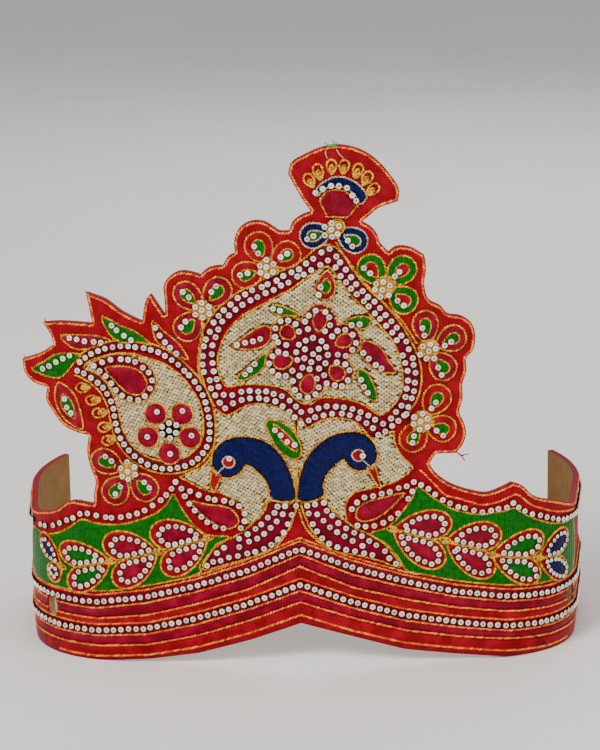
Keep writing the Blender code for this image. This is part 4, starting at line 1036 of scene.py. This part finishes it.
def add_motif(name, outlines, mats, look, nodes, slot, height=PAD, low=CLOTH, edge="gold", cores=(),
              core_look=None):
    """Raised satin patches with couched outlines, and smaller coloured cores on them."""
    batch = Batch()
    thread = 0.62 if edge == "pale" else 0.74
    for outline in outlines:
        batch.pad(outline, low, height, 2.2)
        couch(batch, inset(outline, 0.1), low + height * 0.5, thread, mat=1, closed=True)
    for core in cores:
        batch.pad(core, low + height * 0.8, 0.55, 1.0, 2, 1.0)
        couch(batch, core, low + height + 0.1, 0.6, 1.0, mat=1, closed=True)
    batch.build(name, [mats[look], mats[edge], mats[core_look or look]], nodes, slot)


def rounded(table, step=1.0):
    """A smooth closed outline through given points."""
    return curve_round(table, True, step)


def scaled(outline, share):
    """The outline drawn in towards its own middle."""
    middle = outline.mean(0)
    return middle + (outline - middle) * share


def add_grounds(mats):
    """Cream zari grounds of brick-laid stitches, the green satin fields, and maroon under the bead rows."""
    under = Batch()
    for line, half in (("stones_mango", 3.4), ("stones_birds", 3.4), ("stones_paisley", 1.9)):
        path = curve_round(STONE_LINES[line], False, 2.5)
        side = sideways(path) * half
        under.pad(np.vstack([path + side, (path - side)[::-1]]), CLOTH, 0.3, 1.0, pitch=WIDE_PITCH)
    for outline in TAIL_GROUNDS:
        under.pad(rounded(outline), CLOTH, 0.34, 1.0, pitch=WIDE_PITCH)
    under.build("maroon_under_beads", [mats["maroon"]])
    on_mango = ("leaf_mango", "leaf_right", "mango_drop")
    clear = {
        "mango_ground": [table for name, table in LEAVES.items() if name.startswith(on_mango)],
        "paisley_ground": [DROP],
        "peacock_ground_left": [NECK_LEFT, WING_LEFT, BEAK_LEFT],
        "peacock_ground_right": [NECK_RIGHT, WING_RIGHT, BEAK_RIGHT, CREST_LEAF],
    }
    for name, table, angle in (("mango_ground", MANGO, 0.0), ("paisley_ground", PAISLEY, 0.35),
                               ("peacock_ground_left", BIRD_LEFT, 0.2),
                               ("peacock_ground_right", BIRD_RIGHT, -0.2)):
        batch = Batch()
        outline = rounded(table)
        # The pad under the stitches takes the dark look: painted shade for the gaps between them.
        batch.pad(outline, CLOTH, 0.4, 1.2, pitch=WIDE_PITCH)
        stitch_fill(batch, outline, CLOTH + 0.5, angle, [rounded(t) for t in clear[name]], mat=1)
        couch(batch, inset(outline, 0.2), CLOTH + 0.5, CORD_THICK, mat=2, closed=True)
        looks = [mats["ground"], mats["cream"], mats["gold"]]
        batch.build(name + "_zari", looks, (name,), "cream_thread")
    for name, table in (("band_field_left", GREEN_LEFT), ("band_field_right", GREEN_RIGHT)):
        add_motif(name + "_satin", [rounded(table)], mats, "green", (name,), "green_thread", 0.7)


def add_birds(mats):
    """Peacock necks with black and gold outlines and pale-ringed eyes, beaks, wings and the crest leaf
    between them.
    """
    for side, neck, beak, wing, eye in (("left", NECK_LEFT, BEAK_LEFT, WING_LEFT, EYES[0]),
                                        ("right", NECK_RIGHT, BEAK_RIGHT, WING_RIGHT, EYES[1])):
        batch = Batch()
        outline = rounded(neck)
        batch.pad(outline, ON_GROUND, PAD, 3.0)
        couch(batch, inset(outline, -0.1), ON_GROUND + 0.3, 0.5, mat=1, closed=True)
        couch(batch, inset(outline, -0.8), ON_GROUND + 0.5, 0.6, mat=4, closed=True)
        batch.pad(disc(eye, 2.2), ON_GROUND + PAD * 0.9, 0.45, 1.0, 3, 1.0)
        couch(batch, disc(eye, 2.3), ON_GROUND + PAD + 0.15, 0.55, 0.9, mat=2, closed=True)
        couch(batch, (eye, np.mean(beak[:2], axis=0)), ON_GROUND + PAD + 0.1, 0.45, 0.9, mat=2)
        looks = [mats[name] for name in ("blue", "black", "pale", "red", "gold")]
        batch.build("peacock_neck_" + side + "_satin", looks, ("peacock_neck_" + side,), "blue_thread")
        tip = scaled(resample_round(beak, 0.8), 1.3)
        add_motif("beak_" + side + "_satin", [tip], mats, "red", ("beak_" + side,), "red_cloth", 0.7,
                  ON_GROUND)
        add_motif("wing_" + side + "_satin", [rounded(wing)], mats, "crimson", ("wing_" + side,),
                  "crimson_thread", PAD, ON_GROUND)
    add_motif("crest_leaf_satin", [rounded(CREST_LEAF)], mats, "green", ("crest_leaf",), "green_thread", PAD,
              ON_GROUND, cores=[rounded(CREST_CORE, 0.7)], core_look="red")


# Rounds of thread in a gold loop: share of its length, width, thickness of the thread.
LOOP_ROUNDS = ((0.9, 3.6, 0.95), (0.56, 1.5, 0.85), (0.4, 0.5, 0.7))


def add_fan(mats):
    """The fan's scallop and arc, and the loops of gold thread of the fan and the left side."""
    add_motif("fan_scallop_satin", [resample_round(SCALLOP, 0.9)], mats, "crimson", ("fan_scallop",),
              "crimson_thread")
    add_motif("fan_arc_satin", [rounded(FAN_ARC)], mats, "blue", ("fan_arc",), "blue_thread", edge="pale")
    loops = Batch()
    for base, end in FAN_LOOPS + SIDE_LOOPS:
        base, run = np.array(base), np.subtract(end, base)
        full = np.linalg.norm(run)
        for share, wide, thread in LOOP_ROUNDS:
            outline = petal(base, base + run * (0.04 + share / 2.0), full * share, wide, 0.6)
            couch(loops, outline, CLOTH + 0.5, thread, 0.9, closed=True)
    loops.build("gold_loops", [mats["gold"]], (), "gold_cord")


def add_leaves(mats):
    """Leaves at the left edge and on the mango, and the paisley's drop with the ground under its beads."""
    for name, table in LEAVES.items():
        outline = rounded(table, 0.9)
        low = ON_GROUND if "mango" in name or "right" in name else CLOTH
        look = "green" if name.endswith(("low", "high", "green")) else "crimson"
        cores = [scaled(outline, 0.5)] if name in ("leaf_side", "mango_drop") else ()
        add_motif(name + "_satin", [outline], mats, look, (name,), look + "_thread", PAD, low,
                  cores=cores, core_look="green")
    under_beads = inset(np.array(STONE_SPOTS["paisley_drop_stones"], float), -1.8)
    add_motif("paisley_drop_ground", [resample_round(under_beads, 1.0)], mats, "maroon", (), "crimson_thread",
              THIN, ON_GROUND)
    add_motif("paisley_drop_satin", [rounded(DROP)], mats, "crimson", ("paisley_drop",), "crimson_thread",
              PAD, ON_GROUND)


# Looks of the flowers: the drop in each petal, the petals and their slot, where they aren't the usual ones.
DROP_LOOK = {"flower_top": "green", "flower_right_high": "red"}
PETAL_LOOK = {"flower_top": "blue", "flower_right_high": "green", "flower_high": "red",
              "flower_right_low": "red"}
PETAL_SLOT = {"flower_top": "blue_thread", "flower_right_high": "green_thread"}
PAISLEY_PETAL = 8.8
HUB_SHARE = 0.08


def add_flowers(mats):
    """Border flowers: teardrop petals with gold outlines and a coloured drop in each."""
    for name, (hub, _, petals) in FLOWERS.items():
        look = PETAL_LOOK.get(name, "crimson")
        low = ON_GROUND if name in ("paisley_flower", "mango_flower") else CLOTH
        if name == "mango_flower":
            add_flower_ground(mats, hub, petals)
        if name == "paisley_flower":
            petals = [(s, z, PAISLEY_PETAL, PAISLEY_PETAL) for s, z, _, _ in petals]
            add_motif("paisley_flower_ground", [disc(hub, 4.4, 24)], mats, "black", (), "crimson_thread",
                      0.5, ON_GROUND)
        point = 0.1 if name == "paisley_flower" else 0.4
        closer = 0.0 if low == ON_GROUND else HUB_SHARE
        petals = [(s + (hub[0] - s) * closer, z + (hub[1] - z) * closer, wide, long + 12.0 * closer)
                  for s, z, wide, long in petals]
        shapes = [petal(hub, (s, z), long, wide, point) for s, z, wide, long in petals]
        cores = () if low == ON_GROUND else [petal(hub, (s, z), long * 0.54, wide * 0.42, 0.8)
                                             for s, z, wide, long in petals]
        add_motif(name + "_satin", shapes, mats, look, (name,), PETAL_SLOT.get(name, "crimson_thread"), PAD,
                  low, edge="pale" if name == "flower_top" else "gold", cores=cores,
                  core_look=DROP_LOOK.get(name, "green"))
    hubs = Batch()
    for name, (hub, radius, _) in FLOWERS.items():
        if name not in ("mango_flower", "paisley_flower"):
            hubs.pad(disc(hub, radius), CLOTH + 0.2, PAD, 1.5, pitch=1.2)
            stitch_fill(hubs, disc(hub, radius), CLOTH + PAD + 0.15, 0.6, wide=0.9, margin=0.3)
    for s, z, radius in GOLD_HUBS:
        for ring in np.arange(0.5, radius, 0.75):
            couch(hubs, disc((s, z), ring, 14), CLOTH + PAD + 0.3, 0.7, 0.8, closed=True)
    hubs.build("flower_hubs", [mats["gold"]], (), "gold_cord")


def add_flower_ground(mats, hub, petals):
    """Maroon satin with six lobes behind the large flower, outlined in gold."""
    hub = np.array(hub, float)
    lobes = [(np.array((s, z)) - hub, 6.6) for s, z, _, _ in petals] + [(np.zeros(2), 10.0)]
    outline = []
    for turn in np.linspace(0.0, math.tau, 96, endpoint=False):
        ray = np.array((math.cos(turn), math.sin(turn)))
        reach = 0.0
        for middle, radius in lobes:
            along = middle @ ray
            spare = radius ** 2 - (middle @ middle - along ** 2)
            if spare > 0.0:
                reach = max(reach, along + math.sqrt(spare))
        outline.append(hub + ray * reach)
    add_motif("mango_flower_ground", [np.array(outline)], mats, "maroon", (), "crimson_thread", THIN,
              ON_GROUND)


def band_petal(hub, end, wide, near=-0.6, far=0.0, trim=0.0):
    """A band petal's outline: `near` past its hub, `far` short of its end and `trim` inside its sides."""
    hub, run = np.array(hub, float), np.subtract(end, hub)
    full = np.linalg.norm(run)
    long = full - far - near
    return petal(hub, hub + run / full * (near + long / 2.0), long, wide - 2.0 * trim, 0.35 if trim else 0.6)


def kept_off(outline, hub, across, clear):
    """The outline held `clear` away from the middle line of its pair, so a petal is flat on that side."""
    reach = (outline - hub) @ across
    return outline + np.outer(np.clip(clear - reach, 0.0, None), across)


def add_petal_pairs(mats):
    """Band petals: red satin, gold outline, a ring of stones inside and a coloured core."""
    cores = {"1": "blue", "8": "blue", "2": "green", "7": "green"}
    for name, (hub, ends) in BAND_PAIRS.items():
        batch, row = Batch(), Batch()
        middle = np.mean([(s, z) for s, z, wide in ends], axis=0) - hub
        middle /= np.linalg.norm(middle)
        near, far = (3.4, 2.6) if hub[0] > 0.0 else (2.4, 3.6)
        for s, z, wide in ends:
            across = np.array((-middle[1], middle[0]))
            across *= np.sign(np.subtract((s, z), hub) @ across)
            size = 1.8 if wide < 10.0 else 2.3
            outline = kept_off(band_petal(hub, (s, z), wide), hub, across, 0.3)
            batch.pad(outline, ON_GROUND, PAD * 0.8, 1.5)
            couch(batch, outline, ON_GROUND + 0.45, 1.0, 1.0, mat=1, closed=True)
            short = far * size / 2.3
            ring = band_petal(hub, (s, z), wide, near, short, size * 0.95)
            ring = resample_round(kept_off(ring, hub, across, size * 0.66), size * 1.26)
            set_stones(row, ring, ON_GROUND + PAD * 0.7, size)
            core = band_petal(hub, (s, z), wide, near + 1.2, short + 0.9, size * 1.3)
            batch.pad(kept_off(core, hub, across, size * 0.95), ON_GROUND + PAD * 0.7, 0.5, 1.0, 2, 1.0)
        knot = petal(np.subtract(hub, middle * 3.4), np.subtract(hub, middle * 1.2), 4.4, 2.2, 0.6)
        for outline in (knot, knot * 0.5 + np.multiply(hub, 0.5)):
            couch(batch, outline, ON_GROUND + 0.6, 1.0, 0.8, mat=1, closed=True)
        looks = [mats["red"], mats["gold"], mats[cores.get(name[-1], "crimson")]]
        batch.build(name + "_satin", looks, (name,), "crimson_thread")
        row.build(name + "_stones", stone_looks(mats), (), "stone_row", False)


# What stones stand on: 0 the cloth, 2 satin on a ground; the others stand on satin on the cloth.
STANDS_ON = {
    "mango_leaf_stones": 2, "paisley_drop_stones": 2, "paisley_flower_stones": 2, "mango_flower_stones": 2,
    "bird_stones": 2, "mango_rows": 0, "bird_rows": 0, "tail_left_stones": 0, "tail_right_stones": 0,
    "band_top_left": 0, "band_top_right": 0}
# The solids that rows of stones stand for.
STANDS_FOR = {"mango_rows": ("stones_mango",), "bird_rows": ("stones_birds",),
              "tail_left_stones": ("stones_tail_left",), "tail_right_stones": ("stones_tail_right",)}


def add_stones(mats):
    """The stones set one by one, and the rows that follow a line."""
    for name, spots in STONE_SPOTS.items():
        level = STANDS_ON.get(name, 1)
        height = (CLOTH + 0.3, CLOTH + PAD - 0.1, ON_GROUND + PAD - 0.2)[level]
        row = Batch()
        set_stones(row, spots, height)
        side = name[9:]
        if side in BAND_TOP_ON:
            far = sorted(spots)[0] if side == "left" else sorted(spots)[-1]
            stones_along(row, (far,) + BAND_TOP_ON[side], height, smooth=False)
        row.build(name, stone_looks(mats), STANDS_FOR.get(name, ()), "stone_row", False)
    ring = Batch()
    stones_along(ring, STONE_LINES["stones_paisley"], CLOTH + 0.3)
    ring.build("paisley_ring", stone_looks(mats), ("stones_paisley",), "stone_row", False)


def add_gold_lines(mats):
    """Couched gold lines beside the bead rows and round the tails."""
    lines = Batch()
    for line in (MANGO_LINE_LEFT, MANGO_LINE_RIGHT, NECK_LINE) + TAIL_LINES:
        couch(lines, curve_round(line, False), CLOTH + 0.6, LINE_THICK)
    for table in TAIL_GROUNDS:
        couch(lines, rounded(table), CLOTH + 0.5, LINE_THICK, closed=True)
    for name, width in (("stones_mango", 3.4), ("stones_paisley", 2.2)):
        path = curve_round(STONE_LINES[name], False, 1.2)
        couch(lines, path + sideways(path) * width, CLOTH + 0.45, LINE_THICK)
    lines.build("motif_gold_thread", [mats["gold"]], (), "gold_cord")


def loose_thread(batch, route, mat, radius=0.2):
    """A fine loose thread through (s, z, offset) points."""
    line = bend_all(route) / MM
    sides = 5
    verts, faces = [], []
    for i, spot in enumerate(line):
        way = line[min(i + 1, len(line) - 1)] - line[max(i - 1, 0)]
        way /= np.linalg.norm(way)
        first = np.cross(way, (0.3, 1.0, 0.2))
        first /= np.linalg.norm(first)
        second = np.cross(way, first)
        for k in range(sides):
            a = math.tau * k / sides
            verts.append((spot + (first * math.cos(a) + second * math.sin(a)) * radius) * MM)
    for i in range(len(line) - 1):
        for k in range(sides):
            j = (k + 1) % sides
            faces.append((i * sides + k, i * sides + j, (i + 1) * sides + j, (i + 1) * sides + k))
    faces += [tuple(range(sides))[::-1], tuple((len(line) - 1) * sides + k for k in range(sides))]
    batch.add(verts, faces, mat)


# Loose thread ends: 0 green, 1 red, 2 pale, 3 blue, then the points (s, z, offset) that each runs through.
FRAYS = (
    (0, ((14.0, 202.4, 1.3), (12.8, 203.6, 1.9), (11.6, 204.6, 1.7))),
    (0, ((14.2, 202.4, 1.3), (13.6, 203.4, 2.2), (13.0, 204.0, 1.7))),
    (0, ((14.6, 202.4, 1.3), (15.2, 204.4, 2.0), (14.6, 205.6, 1.7))),
    (0, ((15.0, 202.5, 1.3), (15.9, 203.6, 2.0), (15.6, 204.6, 2.3))),
    (0, ((15.4, 202.6, 1.3), (16.3, 203.6, 1.7), (16.4, 204.8, 1.5))),
    (0, ((12.6, 202.8, 1.6), (14.2, 203.5, 2.3), (16.0, 203.2, 1.8))),
    (1, ((59.4, 84.8, 1.2), (62.0, 82.9, 1.6), (65.0, 83.2, 1.4))),
    (1, ((59.6, 84.8, 1.2), (62.2, 82.4, 1.5), (63.6, 80.4, 1.2))),
    (1, ((59.8, 84.7, 1.2), (61.4, 83.4, 2.0), (63.0, 82.6, 1.8))),
    (1, ((-105.6, 119.4, 0.6), (-106.3, 120.3, 1.0), (-106.5, 121.0, 1.4))),
    (1, ((-97.0, 134.4, 0.6), (-97.3, 135.4, 0.9), (-97.0, 136.0, 1.3))),
    (1, ((-79.4, 146.4, 0.6), (-79.9, 147.3, 0.9), (-79.8, 148.0, 1.2))),
    (2, ((16.0, 201.9, 1.4), (17.2, 199.9, 1.9), (18.8, 198.4, 1.6))),
    (2, ((12.0, 201.6, 1.4), (12.1, 199.8, 1.8), (12.8, 198.4, 1.6))),
    (3, ((91.6, 7.2, 1.9), (93.2, 6.0, 2.1), (94.4, 5.2, 1.9))),
    (3, ((95.4, 4.0, 1.9), (96.6, 2.8, 2.1), (97.8, 2.0, 1.9))))


def add_frays(mats):
    """Cut thread ends: a green tuft at the fan's top, red and pale ones along the edge."""
    frays = Batch()
    for look, route in FRAYS:
        loose_thread(frays, route, look)
    frays.build("loose_threads", [mats["mint"], mats["red"], mats["pale"], mats["blue"]], (), "red_cloth")


def add_area(name, place, power, size, target=(0, -0.03, 0.09)):
    light = bpy.data.lights.new(name, "AREA")
    light.energy = power
    light.size = size
    lamp = bpy.data.objects.new(name, light)
    lamp.location = place
    lamp.rotation_euler = (Vector(target) - Vector(place)).to_track_quat("-Z", "Y").to_euler()
    bpy.context.scene.collection.objects.link(lamp)


def add_stage():
    """Pale floor, soft light and a plain light surround."""
    mesh = bpy.data.meshes.new("floor")
    half = 12.0
    corners = [(-half, -half, 0), (half, -half, 0), (half, half, 0), (-half, half, 0)]
    mesh.from_pydata(corners, [], [(0, 1, 2, 3)])
    paper = finish("floor_paper", ((250, 246, 240), (254, 250, 245)), 0.8, bump=0.05, spread_noise=6.0)
    mesh.materials.append(paper)
    floor = bpy.data.objects.new("floor", mesh)
    bpy.context.scene.collection.objects.link(floor)
    world = bpy.data.worlds.new("surround")
    world.use_nodes = True
    sky = world.node_tree.nodes["Background"]
    sky.inputs["Color"].default_value = (0.78, 0.78, 0.8, 1.0)
    sky.inputs["Strength"].default_value = 0.55
    bpy.context.scene.world = world
    add_area("key", (-0.55, -0.95, 0.95), 16.0, 0.5)
    add_area("fill", (0.9, -0.8, 0.5), 6.0, 0.8)
    add_area("back", (0.2, 1.0, 0.9), 6.0, 0.8, (0, 0.0, 0.1))


def add_camera():
    """The photo's camera: its turn, rise and roll, and the pixel that the crown's foot is seen at."""
    turn, rise, roll = math.radians(2.0), math.radians(15.0), math.radians(1.0)
    focal_px, foot_px = 2894.7, (302.0, 664.0)
    width_px, height_px = 600.0, 750.0
    aim, distance, sensor = 0.095, 1.1, 36.0
    back = Vector((math.sin(turn) * math.cos(rise), -math.cos(turn) * math.cos(rise), math.sin(rise)))
    right = Vector((math.cos(turn), math.sin(turn), 0.0))
    up = back.cross(right)
    level = right * math.cos(roll) - up * math.sin(roll)
    tall = up * math.cos(roll) + right * math.sin(roll)
    place = Vector((0.0, -BACK_OF_CENTRE, aim)) + back * distance
    to_foot = Vector((0.0, -BACK_OF_CENTRE, 0.0)) - place
    depth = -to_foot.dot(back)
    centre_x = foot_px[0] - focal_px * to_foot.dot(level) / depth
    centre_y = foot_px[1] + focal_px * to_foot.dot(tall) / depth
    lens = bpy.data.cameras.new("camera")
    lens.sensor_width = sensor
    lens.sensor_fit = "VERTICAL"
    lens.sensor_height = sensor
    lens.lens = focal_px / height_px * sensor
    lens.shift_x = (width_px / 2.0 - centre_x) / height_px
    lens.shift_y = (centre_y - height_px / 2.0) / height_px
    eye = bpy.data.objects.new("camera", lens)
    eye.matrix_world = Matrix((
        (level.x, tall.x, back.x, place.x), (level.y, tall.y, back.y, place.y),
        (level.z, tall.z, back.z, place.z), (0.0, 0.0, 0.0, 1.0)))
    bpy.context.scene.collection.objects.link(eye)
    bpy.context.scene.camera = eye


def main():
    mats = make_materials()
    add_panel(mats)
    add_band(mats)
    add_grounds(mats)
    add_birds(mats)
    add_fan(mats)
    add_leaves(mats)
    add_flowers(mats)
    add_petal_pairs(mats)
    add_stones(mats)
    add_gold_lines(mats)
    add_frays(mats)
    add_stage()
    add_camera()


main()
